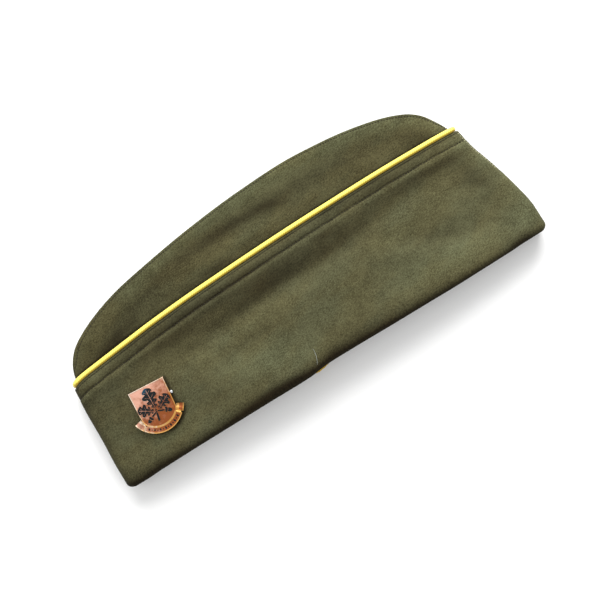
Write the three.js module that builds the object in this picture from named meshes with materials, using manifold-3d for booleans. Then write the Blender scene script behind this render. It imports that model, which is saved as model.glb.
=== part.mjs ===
// A wool garrison cap lying on its right side, in millimetres.
// X runs along the cap from the front to the back, Y from the lower edge to the crown, and Z up.
// The cap's left side looks up and its right side lies on the ground at Z = 0.

import * as THREE from 'three';
import { mergeVertices } from 'three/addons/utils/BufferGeometryUtils.js';
import Module from 'manifold-3d';

const wasm = await Module();
wasm.setup();

// Driving sizes of the cloth body
const CAP_LENGTH = 283;
const CROWN_HEIGHT = 112;
const CORD_HEIGHT = 77.4;
const BACK_LEAN = 15;
const FRONT_LEAN = 3.6;
const RIM_HALF_THICKNESS = 9;
const MOUTH_BULGE = 8;
const FRONT_ROUND = 5;
const BACK_ROUND = 4;
const CORNER_ROUND = 1.5;

// Cloth thicknesses, folds and clearances
const CURTAIN_CLOTH = 2;
const CROWN_CLOTH = 1.5;
const CROWN_SLACK = 1.4;
const SEAT_RISE = 0.8;
const SLACK_RISE = 0.9;
const GUSSET_CLOTH = 1.5;
const LIP_BEND = 2.5;
const HEM_REACH = 12;
const CROWN_TUCK = 5;
const GUSSET_FOLD = 28;
const GUSSET_BEND = 1.2;
const GUSSET_DROP = 0.6;
const GUSSET_END = 0.04;
const GUSSET_FULLNESS = 0.7;
const DENT_DEPTH = 2;
const CLEARANCE = 0.3;
const SEAM_GAP = 0.3;
const FLOOR_CLEARANCE = 0.1;
const PIPING_DIAMETER = 3.4;

// Driving sizes of the badge
const BADGE_ALONG = 40.2;
const BADGE_UP = 33.2;
const BADGE_TURN = -4.8;
const SHIELD_WIDTH = 22.2;
const SHIELD_TOP = 12.2;
const SHIELD_BOTTOM = 12.4;
const SHIELD_CURVE = { waist: 0.97, shoulder: 0.35, cheek: 0.95, turn: 0.8, chin: 0.45 };
const PLATE_THICKNESS = 1;
const RIM_WIDTH = 0.8;
const RIM_RISE = 0.3;
const SCROLL_RADIUS = 15.3;
const SCROLL_BAND = 3.4;
const SCROLL_RISE = 0.5;
const SCROLL_ANGLE = 57;
const POCKET_DEPTH = 0.5;
const ENAMEL_PROUD = 0.15;
const PIN_THICKNESS = 1;
const PIN_WIDTH = 1.9;
const PIN_SHOWS = 1.2;
const PIN_UP = 1.6;

// Driving sizes of the tape that shows at the lower edge
const TAB_ALONG = 130.5;
const TAB_LENGTH = 9.5;
const TAB_SHOWS = 1.6;
const TAB_REACH = 9;
const TAB_CLOTH = 0.8;
const TAB_RUFFLE = 0.25;
const TAB_DROOP = 0.2;
const TAB_WAVES = 1.5;

// Steps of the faceted surfaces
const ARC_SHARE = 0.1;
const ARC_STEPS = 5;
const LEFT_STEPS = 20;
const RIGHT_STEPS = 12;
const BEND_STEPS = 6;
const CORD_SIDES = 8;
const LEFT_CORD_STEPS = 60;
const RIGHT_CORD_STEPS = 50;
const EXTRA_CROWN_STEPS = 4;
const TAB_STEPS = 6;
const CURVE_STEPS = 10;
const LEAF_ROWS = [1, 0.92, 0.8, 0.66, 0.52, 0.36, 0.18];
const HEM_ROWS = [0.5, 1];
const CROWN_ROWS = [1.12, 1.3, 1.48, 1.66, 1.84, 2];
const GUSSET_ROWS = [0, 0.3, 0.65, 1];

// What the seats of the layers work out to, as depths below the curtain's outer face
const LIP_OUTER = LIP_BEND + CURTAIN_CLOTH / 2;
const LIP_INNER = LIP_BEND - CURTAIN_CLOTH / 2;
const CROWN_DEPTH = CURTAIN_CLOTH + CLEARANCE;
const CROWN_DEPTH_IN_HEM = LIP_OUTER - CROWN_CLOTH / 2;
const GUSSET_DEPTH = CROWN_DEPTH + CROWN_CLOTH + CLEARANCE;
const PIPING_RADIUS = PIPING_DIAMETER / 2;
const CORD_DEPTH = CROWN_DEPTH - CLEARANCE - PIPING_RADIUS;
const CORD_LIFT = PIPING_RADIUS - CORD_DEPTH + FLOOR_CLEARANCE;
const CURTAIN_TO_CORD = PIPING_RADIUS + CLEARANCE;
const LEAST_ROUND = 1.2;
const DENT_FADE = 14;
const BULGE_POWER = 0.9;
const SLOPE_STEP = 0.01;

// Section of the cap from the lower edge to the crown: up is a share of the crown height,
// half of the rim's half thickness, bulge of the mouth's bulge and lift of the cord's lift.
const SECTION = [
  { up: 0.00, half: 1.00, bulge: 1.00, lift: 0.00 },
  { up: 0.20, half: 1.00, bulge: 0.95, lift: 0.00 },
  { up: 0.46, half: 0.97, bulge: 0.76, lift: 0.00 },
  { up: 0.60, half: 0.87, bulge: 0.58, lift: 1.00 },
  { up: 0.69, half: 0.83, bulge: 0.46, lift: 1.00 },
  { up: 0.86, half: 0.79, bulge: 0.28, lift: -0.20 },
  { up: 1.00, half: 0.78, bulge: 0.18, lift: -0.60 },
];

// Front and back edges of the curtain: up is a share of the cord's height,
// front and back are shares of how far the edges lean in.
const EDGES = [
  { up: 0.00, front: 0.00, back: 0.00 },
  { up: 0.18, front: 0.08, back: 0.01 },
  { up: 0.41, front: 0.39, back: 0.22 },
  { up: 0.65, front: 0.56, back: 0.56 },
  { up: 0.82, front: 0.90, back: 0.84 },
  { up: 1.00, front: 1.00, back: 1.00 },
];

// Course of the cord: along is a share of the cap's length, height of the cord's height.
const CORD_COURSE = [
  { along: 0.011, height: 0.805 },
  { along: 0.018, height: 0.845 },
  { along: 0.028, height: 0.868 },
  { along: 0.046, height: 0.882 },
  { along: 0.074, height: 0.893 },
  { along: 0.138, height: 0.916 },
  { along: 0.230, height: 0.947 },
  { along: 0.350, height: 0.972 },
  { along: 0.594, height: 0.996 },
  { along: 0.740, height: 1.000 },
  { along: 1.000, height: 0.990 },
];

// Arched outline of the crown: place runs from its front tip to its back tip,
// along is a share of the cap's length and up of the crown height.
const CROWN_OUTLINE = [
  { place: 0.00, along: 0.0233, up: 0.566 },
  { place: 0.05, along: 0.0270, up: 0.624 },
  { place: 0.10, along: 0.0364, up: 0.681 },
  { place: 0.16, along: 0.0550, up: 0.744 },
  { place: 0.22, along: 0.1000, up: 0.814 },
  { place: 0.30, along: 0.1840, up: 0.887 },
  { place: 0.38, along: 0.2830, up: 0.932 },
  { place: 0.46, along: 0.3890, up: 0.968 },
  { place: 0.54, along: 0.4950, up: 0.991 },
  { place: 0.62, along: 0.6010, up: 1.000 },
  { place: 0.70, along: 0.7070, up: 0.981 },
  { place: 0.78, along: 0.8080, up: 0.936 },
  { place: 0.84, along: 0.8700, up: 0.876 },
  { place: 0.90, along: 0.9210, up: 0.735 },
  { place: 0.95, along: 0.9335, up: 0.708 },
  { place: 1.00, along: 0.9360, up: 0.680 },
];

// Dents and swells of the upper side: along and long are shares of the cap's length, up and wide
// of the crown height, turn is in degrees and deep is a share of the dent depth, less than 0 for a swell.
const DENTS = [
  { name: 'crown front valley', along: 0.155, up: 0.735, turn: 18, long: 0.120, wide: 0.055, deep: 0.60 },
  { name: 'crown middle valley', along: 0.450, up: 0.890, turn: 2, long: 0.170, wide: 0.050, deep: 0.60 },
  { name: 'crown back valley', along: 0.790, up: 0.830, turn: -12, long: 0.130, wide: 0.055, deep: 0.45 },
  { name: 'crown swell', along: 0.430, up: 0.790, turn: -8, long: 0.110, wide: 0.050, deep: -0.40 },
  { name: 'valley under the stitching', along: 0.470, up: 0.540, turn: 2, long: 0.240, wide: 0.070, deep: 0.75 },
  { name: 'valley towards the back', along: 0.790, up: 0.570, turn: 0, long: 0.130, wide: 0.040, deep: 0.40 },
  { name: 'curtain swell', along: 0.450, up: 0.370, turn: 0, long: 0.260, wide: 0.120, deep: -0.55 },
  { name: 'small dent', along: 0.380, up: 0.320, turn: 0, long: 0.070, wide: 0.045, deep: 0.35 },
  { name: 'slanting crease', along: 0.780, up: 0.290, turn: -24, long: 0.110, wide: 0.055, deep: 0.60 },
  { name: 'slanting swell', along: 0.800, up: 0.180, turn: -24, long: 0.120, wide: 0.060, deep: -0.40 },
  { name: 'back edge dent', along: 0.915, up: 0.430, turn: 70, long: 0.050, wide: 0.050, deep: 0.35 },
];

// The scroll's folded end: out is a share of how far the band's end stands out, up of its width.
const SCROLL_END = [
  { out: 1.02, up: -0.50 },
  { out: 0.78, up: -0.62 },
  { out: 0.66, up: 0.10 },
  { out: 0.98, up: 0.42 },
  { out: 1.20, up: 0.36 },
  { out: 1.10, up: 0.02 },
];

// Oak sprig on the shield: places and lengths are shares of the shield's width, turn is in degrees.
const LEAVES = [
  { along: -0.02, up: -0.10, turn: 96, long: 0.56, wide: 0.27 },
  { along: 0.02, up: -0.16, turn: 38, long: 0.46, wide: 0.23 },
  { along: -0.06, up: -0.16, turn: 150, long: 0.42, wide: 0.22 },
];
const ACORNS = [
  { along: 0.17, up: -0.20, turn: -30, long: 0.22, wide: 0.14 },
  { along: -0.19, up: -0.24, turn: 215, long: 0.20, wide: 0.13 },
];
const STEMS = [
  { along: -0.02, up: -0.08, turn: 262, long: 0.34, wide: 0.06 },
  { along: -0.01, up: -0.16, turn: -18, long: 0.22, wide: 0.05 },
  { along: -0.01, up: -0.16, turn: 204, long: 0.22, wide: 0.05 },
];
const LEAF_FORM = { lobes: 3.5, lobeDepth: 0.24, widest: 0.8, fullness: 0.55 };
const ACORN_FORM = { cupEnd: -0.1, cup: 1.12, nut: 0.94 };
const STEM_FLARE = 1.2;
const LEAF_STEPS = 19;
const ACORN_STEPS = 8;

const cloth = (color) => new THREE.MeshStandardMaterial({ color, roughness: 0.95, metalness: 0 });
const MATERIALS = {
  crown: cloth(0x57543a),
  curtain: cloth(0x615f42),
  gusset: cloth(0x4f4c35),
  piping: new THREE.MeshStandardMaterial({ color: 0xe8cf2c, roughness: 0.6, metalness: 0 }),
  copper: new THREE.MeshStandardMaterial({ color: 0xa0603c, roughness: 0.35, metalness: 1 }),
  enamel: new THREE.MeshStandardMaterial({ color: 0x0c0e12, roughness: 0.15, metalness: 0 }),
  nickel: new THREE.MeshStandardMaterial({ color: 0xc8ccd0, roughness: 0.3, metalness: 1 }),
};

function mix(from, to, share) {
  return from + (to - from) * share;
}

function clampShare(value) {
  return Math.min(Math.max(value, 0), 1);
}

// Reads a table of rows as a smooth curve that never overshoots its rows.
function readTable(rows, input, output, at) {
  const last = rows.length - 1;
  const value = Math.min(Math.max(at, rows[0][input]), rows[last][input]);
  let row = 0;
  while (row < last - 1 && value > rows[row + 1][input]) {
    row += 1;
  }
  const slope = (k) => (rows[k + 1][output] - rows[k][output]) / (rows[k + 1][input] - rows[k][input]);
  const tangent = (k) => {
    if (k === 0) return slope(0);
    if (k === last) return slope(last - 1);
    const before = slope(k - 1);
    const after = slope(k);
    return before * after <= 0 ? 0 : (2 * before * after) / (before + after);
  };
  const step = rows[row + 1][input] - rows[row][input];
  const t = (value - rows[row][input]) / step;
  const ease = t * t * (3 - 2 * t);
  const lift = step * t * (1 - t) * ((1 - t) * tangent(row) - t * tangent(row + 1));
  return mix(rows[row][output], rows[row + 1][output], ease) + lift;
}

// Half thickness of the cap at a height above the lower edge, without the bulge.
function halfThickness(y) {
  return RIM_HALF_THICKNESS * readTable(SECTION, 'up', 'half', y / CROWN_HEIGHT);
}

// Height of the seam plane, where the left and the right half meet.
function seamHeight(y) {
  return halfThickness(y) + CORD_LIFT * readTable(SECTION, 'up', 'lift', y / CROWN_HEIGHT);
}

function cornerInset(y) {
  const low = Math.max(LIP_OUTER - y, 0) / LIP_OUTER;
  return CORNER_ROUND * (1 - Math.sqrt(1 - low * low));
}

function frontEdge(y) {
  return FRONT_LEAN * readTable(EDGES, 'up', 'front', y / CORD_HEIGHT) + cornerInset(y);
}

function backEdge(y) {
  return CAP_LENGTH - BACK_LEAN * readTable(EDGES, 'up', 'back', y / CORD_HEIGHT) - cornerInset(y);
}

// How far the upper side stands above a flat cap: the open mouth's bulge with its dents and swells.
function upperShape(x, y) {
  const front = frontEdge(y);
  const back = backEdge(y);
  const fromMiddle = (2 * x - front - back) / (back - front);
  const arch = Math.pow(Math.max(1 - fromMiddle * fromMiddle, 0), BULGE_POWER);
  const bulge = MOUTH_BULGE * readTable(SECTION, 'up', 'bulge', y / CROWN_HEIGHT) * arch;
  const fade = clampShare(Math.min(x - front, back - x) / DENT_FADE);
  let dent = 0;
  for (const row of DENTS) {
    const turn = THREE.MathUtils.degToRad(row.turn);
    const dx = x - row.along * CAP_LENGTH;
    const dy = y - row.up * CROWN_HEIGHT;
    const lengthwise = (dx * Math.cos(turn) + dy * Math.sin(turn)) / (row.long * CAP_LENGTH);
    const crosswise = (dy * Math.cos(turn) - dx * Math.sin(turn)) / (row.wide * CROWN_HEIGHT);
    dent += row.deep * Math.exp(-lengthwise * lengthwise - crosswise * crosswise);
  }
  return bulge - DENT_DEPTH * dent * fade * fade * (3 - 2 * fade);
}

// Turns a place from 0 at the front rim to 1 at the back rim into an X and how far the layer has
// opened away from the seam: each end is a quarter ellipse and the middle runs straight.
function alongLayer(place, front, back, frontRound, backRound) {
  if (place < ARC_SHARE) {
    const angle = (place / ARC_SHARE) * (Math.PI / 2);
    return { x: front + frontRound * (1 - Math.cos(angle)), open: Math.sin(angle) };
  }
  if (place > 1 - ARC_SHARE) {
    const angle = ((1 - place) / ARC_SHARE) * (Math.PI / 2);
    return { x: back - backRound * (1 - Math.cos(angle)), open: Math.sin(angle) };
  }
  const share = (place - ARC_SHARE) / (1 - 2 * ARC_SHARE);
  return { x: mix(front + frontRound, back - backRound, share), open: 1 };
}

// Height of a layer: side is 1 for the left, upper half and -1 for the right, lower half.
function layerHeight(side, x, y, depth, open) {
  const away = SEAM_GAP / 2 + (halfThickness(y) - depth - SEAM_GAP / 2) * open;
  return seamHeight(y) + side * away + (side > 0 ? upperShape(x, y) : 0);
}

// A point of the curtain's layers, which follow the curtain's front and back edges.
function curtainPoint(side, place, y, depth) {
  const frontRound = Math.max(FRONT_ROUND - depth, LEAST_ROUND);
  const backRound = Math.max(BACK_ROUND - depth, LEAST_ROUND);
  const { x, open } = alongLayer(place, frontEdge(y) + depth, backEdge(y) - depth, frontRound, backRound);
  return new THREE.Vector3(x, y, layerHeight(side, x, y, depth, open));
}

function cordHeight(place) {
  const frontStart = frontEdge(CORD_COURSE[0].height * CORD_HEIGHT) + CORD_DEPTH;
  const { x } = alongLayer(place, frontStart, CAP_LENGTH - BACK_LEAN, FRONT_ROUND, BACK_ROUND);
  return CORD_HEIGHT * readTable(CORD_COURSE, 'along', 'height', x / CAP_LENGTH);
}

// The middle of the cord, which lies on the crown's cloth just above the curtain's top edge.
function cordPoint(side, place) {
  return curtainPoint(side, place, cordHeight(place), CORD_DEPTH);
}

// Height of the curtain's top edge, kept clear of the cord also where the cord slants.
function curtainTop(place) {
  const before = cordPoint(1, Math.max(place - SLOPE_STEP, 0));
  const after = cordPoint(1, Math.min(place + SLOPE_STEP, 1));
  const run = after.distanceTo(before);
  const level = Math.sqrt(run * run - (after.y - before.y) ** 2);
  return cordHeight(place) - (CURTAIN_TO_CORD * run) / level;
}

function crownTop(place) {
  return {
    x: CAP_LENGTH * readTable(CROWN_OUTLINE, 'place', 'along', place),
    y: CROWN_HEIGHT * readTable(CROWN_OUTLINE, 'place', 'up', place),
  };
}

// Height of a crown row: rise goes from 0 at the lip's bend to 1 at the curtain's top edge,
// in the curtain's own rows, and on to 2 at the crown's outline.
function crownRow(place, rise) {
  const top = curtainTop(place);
  return rise <= 1 ? mix(LIP_OUTER, top, rise) : mix(top, crownTop(place).y, rise - 1);
}

// Depth of the crown's outer face: it sits in the middle of the hem, hangs slack behind the curtain
// and comes up to the curtain's cloth at its top edge.
function crownDepth(place, y) {
  const rise = clampShare((y - LIP_OUTER) / (curtainTop(place) - LIP_OUTER));
  const ease = clampShare(rise / SEAT_RISE);
  const seat = mix(CROWN_DEPTH_IN_HEM, CROWN_DEPTH, ease * ease * (3 - 2 * ease));
  return seat + CROWN_SLACK * Math.pow(Math.sin(Math.PI * Math.min(rise / SLACK_RISE, 1)), 2);
}

// X of the crown at a height: behind the curtain its panels keep the curtain's slant, and above it
// they are ruled to the arched outline. wall is how far inside the crown's outer face the layer lies.
function crownAlong(place, y, wall) {
  const top = crownTop(place);
  const behind = Math.min(y, curtainTop(place));
  const depth = crownDepth(place, behind) + wall;
  const frontRound = Math.max(FRONT_ROUND - depth, LEAST_ROUND);
  const backRound = Math.max(BACK_ROUND - depth, LEAST_ROUND);
  const low = alongLayer(place, frontEdge(behind) + depth, backEdge(behind) - depth, frontRound, backRound);
  const inward = (place < 0.5 ? wall : -wall) * (1 - low.open);
  const share = (y - behind) / (top.y - behind);
  return { x: share > 0 ? mix(low.x, top.x + inward, share) : low.x, open: low.open };
}

// wall is 0 on the crown's outer face and the cloth's thickness on its inner face.
function crownPoint(side, place, rise, wall) {
  const y = crownRow(place, rise);
  const { x, open } = crownAlong(place, y, wall);
  return new THREE.Vector3(x, y, layerHeight(side, x, y, crownDepth(place, y) + wall, open));
}

// The list of places from rim to rim, close together round both ends.
function placesAlong(middleSteps) {
  const places = [];
  for (let i = 0; i < ARC_STEPS; i += 1) {
    places.push((ARC_SHARE * i) / ARC_STEPS);
  }
  for (let i = 0; i <= middleSteps; i += 1) {
    places.push(mix(ARC_SHARE, 1 - ARC_SHARE, i / middleSteps));
  }
  for (let i = ARC_STEPS - 1; i >= 0; i -= 1) {
    places.push(1 - (ARC_SHARE * i) / ARC_STEPS);
  }
  return places;
}

function signedVolume(geometry) {
  const position = geometry.getAttribute('position');
  const corner = (i) => new THREE.Vector3().fromBufferAttribute(position, geometry.index.getX(i));
  let volume = 0;
  for (let i = 0; i < geometry.index.count; i += 3) {
    volume += corner(i).dot(corner(i + 1).cross(corner(i + 2))) / 6;
  }
  return volume;
}

// Sweeps a wall past a list of places: outer and inner are rows of section points on its two faces,
// as many on each, and the wall's four narrow sides are closed.
function sweepWall(outer, inner, places, pointAt) {
  const loop = [...outer, ...[...inner].reverse()];
  const positions = [];
  for (const place of places) {
    for (const item of loop) {
      positions.push(...pointAt(item, place).toArray());
    }
  }
  const index = [];
  const count = loop.length;
  for (let i = 0; i < places.length - 1; i += 1) {
    for (let j = 0; j < count; j += 1) {
      const a = i * count + j;
      const b = i * count + ((j + 1) % count);
      index.push(a, b, b + count, a, b + count, a + count);
    }
  }
  const end = (places.length - 1) * count;
  for (let j = 0; j < outer.length - 1; j += 1) {
    const across = count - 1 - j;
    index.push(j, across, j + 1, j + 1, across, across - 1);
    index.push(end + j, end + j + 1, end + across, end + j + 1, end + across - 1, end + across);
  }
  const geometry = new THREE.BufferGeometry();
  geometry.setAttribute('position', new THREE.Float32BufferAttribute(positions, 3));
  geometry.setIndex(index);
  if (signedVolume(geometry) < 0) {
    geometry.setIndex(index.reverse());
  }
  geometry.computeVertexNormals();
  return geometry;
}

function makeMesh(name, geometry, material) {
  const mesh = new THREE.Mesh(geometry, material);
  mesh.name = name;
  return mesh;
}

// One face of the curtain's section: its outer leaf, the bend at the lower edge and the hem inside.
// rise is a share of the leaf's height and base a height above the lower edge.
function curtainFace(radius, leafDepth) {
  const path = LEAF_ROWS.map((rise) => ({ rise, base: LIP_OUTER, depth: leafDepth }));
  for (let i = 0; i <= BEND_STEPS; i += 1) {
    const angle = (Math.PI * i) / BEND_STEPS;
    const base = LIP_OUTER - radius * Math.sin(angle);
    path.push({ rise: 0, base, depth: LIP_OUTER - radius * Math.cos(angle) });
  }
  for (const share of HEM_ROWS) {
    path.push({ rise: 0, base: LIP_OUTER + HEM_REACH * share, depth: 2 * LIP_OUTER - leafDepth });
  }
  return path;
}

function makeCurtain(name, side, middleSteps) {
  const pointAt = (item, place) => {
    const y = item.base + item.rise * (curtainTop(place) - LIP_OUTER);
    return curtainPoint(side, place, y, item.depth);
  };
  const outer = curtainFace(LIP_OUTER, 0);
  const inner = curtainFace(LIP_INNER, CURTAIN_CLOTH);
  return makeMesh(name, sweepWall(outer, inner, placesAlong(middleSteps), pointAt), MATERIALS.curtain);
}

function makeCrownPanel(name, side, middleSteps) {
  const tuckRise = (CROWN_TUCK - LIP_OUTER) / CORD_HEIGHT;
  const rows = [tuckRise, ...[...LEAF_ROWS].reverse(), ...CROWN_ROWS];
  const outer = rows.map((rise) => ({ rise, wall: 0 }));
  const inner = rows.map((rise) => ({ rise, wall: CROWN_CLOTH }));
  const pointAt = (item, place) => crownPoint(side, place, item.rise, item.wall);
  return makeMesh(name, sweepWall(outer, inner, placesAlong(middleSteps), pointAt), MATERIALS.crown);
}

// One face of the gusset's section: down is a share of the fold's depth on the left leaf (side 1) and
// the right one (side -1), and below the leaves the cloth turns round a bend of the given radius.
function gussetFace(wall, radius) {
  const left = GUSSET_ROWS.map((down) => ({ down, wall, side: 1, radius, bent: false }));
  const bend = [];
  for (let i = 1; i < BEND_STEPS; i += 1) {
    bend.push({ down: 1, wall, angle: (Math.PI * i) / BEND_STEPS, radius, bent: true });
  }
  const right = GUSSET_ROWS.map((down) => ({ down, wall, side: -1, radius, bent: false })).reverse();
  return [...left, ...bend, ...right];
}

function gussetPoint(item, place) {
  const top = crownTop(place).y - GUSSET_DROP;
  const taper = Math.sin(Math.PI * mix(GUSSET_END, 1 - GUSSET_END, place));
  const depth = GUSSET_FOLD * Math.pow(taper, GUSSET_FULLNESS);
  const y = top - depth * item.down - (item.bent ? item.radius * Math.sin(item.angle) : 0);
  const { x, open } = crownAlong(place, y, CROWN_CLOTH);
  const leafHalf = halfThickness(y) - GUSSET_DEPTH - item.wall;
  const leaf = item.side * mix(leafHalf, item.radius, item.down);
  const half = item.bent ? item.radius * Math.cos(item.angle) : leaf;
  const follow = 0.5 + 0.5 * Math.min(Math.max(half / leafHalf, -1), 1);
  return new THREE.Vector3(x, y, seamHeight(y) + half * open + upperShape(x, y) * follow);
}

function makeGusset() {
  const outer = gussetFace(0, GUSSET_BEND + GUSSET_CLOTH / 2);
  const inner = gussetFace(GUSSET_CLOTH, GUSSET_BEND - GUSSET_CLOTH / 2);
  const places = placesAlong(LEFT_STEPS + EXTRA_CROWN_STEPS).slice(ARC_STEPS, -ARC_STEPS);
  return makeMesh('crown_gusset', sweepWall(outer, inner, places, gussetPoint), MATERIALS.gusset);
}

// The cord's course, stepped by place instead of by length, so that its steps are short round both ends.
class CordCurve extends THREE.Curve {
  constructor(side) {
    super();
    this.side = side;
  }

  getPoint(place) {
    return cordPoint(this.side, place);
  }

  getUtoTmapping(share) {
    return share;
  }
}

function mergedSolid(geometry) {
  const bare = geometry.clone();
  bare.deleteAttribute('normal');
  bare.deleteAttribute('uv');
  return mergeVertices(bare, 1e-4);
}

function makePiping(name, side, steps) {
  const section = new THREE.Shape();
  for (let i = 0; i < CORD_SIDES; i += 1) {
    const angle = (2 * Math.PI * (i + 0.5)) / CORD_SIDES;
    const corner = new THREE.Vector2(Math.cos(angle), Math.sin(angle)).multiplyScalar(PIPING_RADIUS);
    if (i === 0) section.moveTo(corner.x, corner.y);
    else section.lineTo(corner.x, corner.y);
  }
  const extrudePath = new CordCurve(side);
  const geometry = new THREE.ExtrudeGeometry(section, { steps, bevelEnabled: false, extrudePath });
  return makeMesh(name, mergedSolid(geometry), MATERIALS.piping);
}

function toSolid(geometry) {
  const merged = mergedSolid(geometry);
  const vertProperties = new Float32Array(merged.getAttribute('position').array);
  const triVerts = new Uint32Array(merged.index.array);
  return new wasm.Manifold(new wasm.Mesh({ numProp: 3, vertProperties, triVerts }));
}

function toGeometry(solid) {
  const mesh = solid.getMesh();
  const geometry = new THREE.BufferGeometry();
  geometry.setAttribute('position', new THREE.Float32BufferAttribute(mesh.vertProperties, 3));
  geometry.setIndex([...mesh.triVerts]);
  geometry.computeVertexNormals();
  return geometry;
}

function plate(shape, bottom, top) {
  const settings = { depth: top - bottom, bevelEnabled: false, curveSegments: CURVE_STEPS };
  return toSolid(new THREE.ExtrudeGeometry(shape, settings).translate(0, 0, bottom));
}

function shieldShape(inset) {
  const half = SHIELD_WIDTH / 2 - inset;
  const top = SHIELD_TOP - inset;
  const bottom = -SHIELD_BOTTOM + inset;
  const { waist, shoulder, cheek, turn, chin } = SHIELD_CURVE;
  const shape = new THREE.Shape();
  shape.moveTo(half, top);
  shape.lineTo(-half, top);
  shape.lineTo(-half * waist, bottom * shoulder);
  shape.bezierCurveTo(-half * cheek, bottom * turn, -half * chin, bottom, 0, bottom);
  shape.bezierCurveTo(half * chin, bottom, half * cheek, bottom * turn, half * waist, bottom * shoulder);
  shape.closePath();
  return shape;
}

function scrollShape() {
  const below = -Math.PI / 2;
  const span = THREE.MathUtils.degToRad(SCROLL_ANGLE);
  const shape = new THREE.Shape();
  shape.absarc(0, 0, SCROLL_RADIUS, below - span, below + span, false);
  shape.absarc(0, 0, SCROLL_RADIUS - SCROLL_BAND, below + span, below - span, true);
  shape.closePath();
  return shape;
}

// The folded end of the scroll, which stands out beside the shield.
function scrollEndShape(side) {
  const span = THREE.MathUtils.degToRad(SCROLL_ANGLE);
  const x = SCROLL_RADIUS * Math.sin(span);
  const y = -SCROLL_RADIUS * Math.cos(span);
  const corner = (row) => new THREE.Vector2(side * row.out * x, y + row.up * SCROLL_BAND);
  return new THREE.Shape(SCROLL_END.map(corner));
}

function turnedShape(points, row, grow) {
  const turn = THREE.MathUtils.degToRad(row.turn);
  const start = new THREE.Vector2(row.along * SHIELD_WIDTH, row.up * SHIELD_WIDTH);
  const origin = new THREE.Vector2();
  const corner = ([x, y]) => new THREE.Vector2(x - grow, y).rotateAround(origin, turn).add(start);
  return new THREE.Shape(points.map(corner));
}

function leafPoints(row, grow) {
  const long = row.long * SHIELD_WIDTH + 2 * grow;
  const halfWide = (row.wide * SHIELD_WIDTH) / 2;
  const edge = [];
  for (let i = 0; i <= LEAF_STEPS; i += 1) {
    const share = i / LEAF_STEPS;
    const lobe = 1 - LEAF_FORM.lobeDepth * (1 + Math.cos(2 * Math.PI * LEAF_FORM.lobes * share));
    const fullness = Math.pow(Math.sin(Math.PI * Math.pow(share, LEAF_FORM.widest)), LEAF_FORM.fullness);
    edge.push([share * long, halfWide * fullness * lobe + (i % LEAF_STEPS === 0 ? 0 : grow)]);
  }
  const back = edge.slice(1, -1).reverse().map(([x, y]) => [x, -y]);
  return [...edge, ...back];
}

function acornPoints(row, grow) {
  const long = row.long * SHIELD_WIDTH;
  const halfWide = (row.wide * SHIELD_WIDTH) / 2;
  const points = [];
  for (let i = 0; i < ACORN_STEPS * 2; i += 1) {
    const angle = (Math.PI * i) / ACORN_STEPS;
    const width = Math.cos(angle) < ACORN_FORM.cupEnd ? ACORN_FORM.cup : ACORN_FORM.nut;
    const reach = long / 2 + grow;
    points.push([reach + reach * Math.cos(angle), (halfWide * width + grow) * Math.sin(angle)]);
  }
  return points;
}

function stemPoints(row, grow) {
  const half = (row.wide * SHIELD_WIDTH) / 2 + grow;
  const long = row.long * SHIELD_WIDTH + 2 * grow;
  return [[0, -half], [long, -half * STEM_FLARE], [long, half * STEM_FLARE], [0, half]];
}

// The oak sprig as one solid, grown outwards by a clearance for the pocket that holds it.
function sprigSolid(grow, bottom, top) {
  const outlines = [
    ...STEMS.map((row) => turnedShape(stemPoints(row, grow), row, grow)),
    ...LEAVES.map((row) => turnedShape(leafPoints(row, grow), row, grow)),
    ...ACORNS.map((row) => turnedShape(acornPoints(row, grow), row, grow)),
  ];
  return outlines.map((shape) => plate(shape, bottom, top)).reduce((sum, next) => sum.add(next));
}

// The badge in its own frame: X along its top edge, Y up the shield and Z away from the cloth.
function makeBadge() {
  const group = new THREE.Group();
  const pinBottom = CLEARANCE;
  const plateBottom = pinBottom + PIN_THICKNESS + CLEARANCE;
  const face = plateBottom + PLATE_THICKNESS;
  const rimShape = shieldShape(0);
  rimShape.holes.push(new THREE.Path(shieldShape(RIM_WIDTH).getPoints(CURVE_STEPS)));
  const body = plate(shieldShape(0), plateBottom, face)
    .add(plate(rimShape, face - CLEARANCE, face + RIM_RISE))
    .add(plate(scrollShape(), plateBottom, face + SCROLL_RISE))
    .add(plate(scrollEndShape(1), plateBottom, face + SCROLL_RISE / 2))
    .add(plate(scrollEndShape(-1), plateBottom, face + SCROLL_RISE / 2))
    .subtract(sprigSolid(CLEARANCE, face - POCKET_DEPTH, face + 2 * SCROLL_RISE));
  const charge = sprigSolid(0, face - POCKET_DEPTH + CLEARANCE, face + ENAMEL_PROUD);
  const pinLength = SHIELD_WIDTH + PIN_SHOWS;
  const pin = new THREE.BoxGeometry(pinLength, PIN_WIDTH, PIN_THICKNESS, 1, 1, 1);
  const pinMesh = makeMesh('badge_pin', mergedSolid(pin), MATERIALS.nickel);
  pinMesh.position.set(PIN_SHOWS / 2, PIN_UP, pinBottom + PIN_THICKNESS / 2);
  group.add(makeMesh('badge_body', toGeometry(body), MATERIALS.copper));
  group.add(makeMesh('badge_charge', toGeometry(charge), MATERIALS.enamel));
  group.add(pinMesh);
  return group;
}

function upperSkin(x, y) {
  return new THREE.Vector3(x, y, layerHeight(1, x, y, 0, 1));
}

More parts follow.
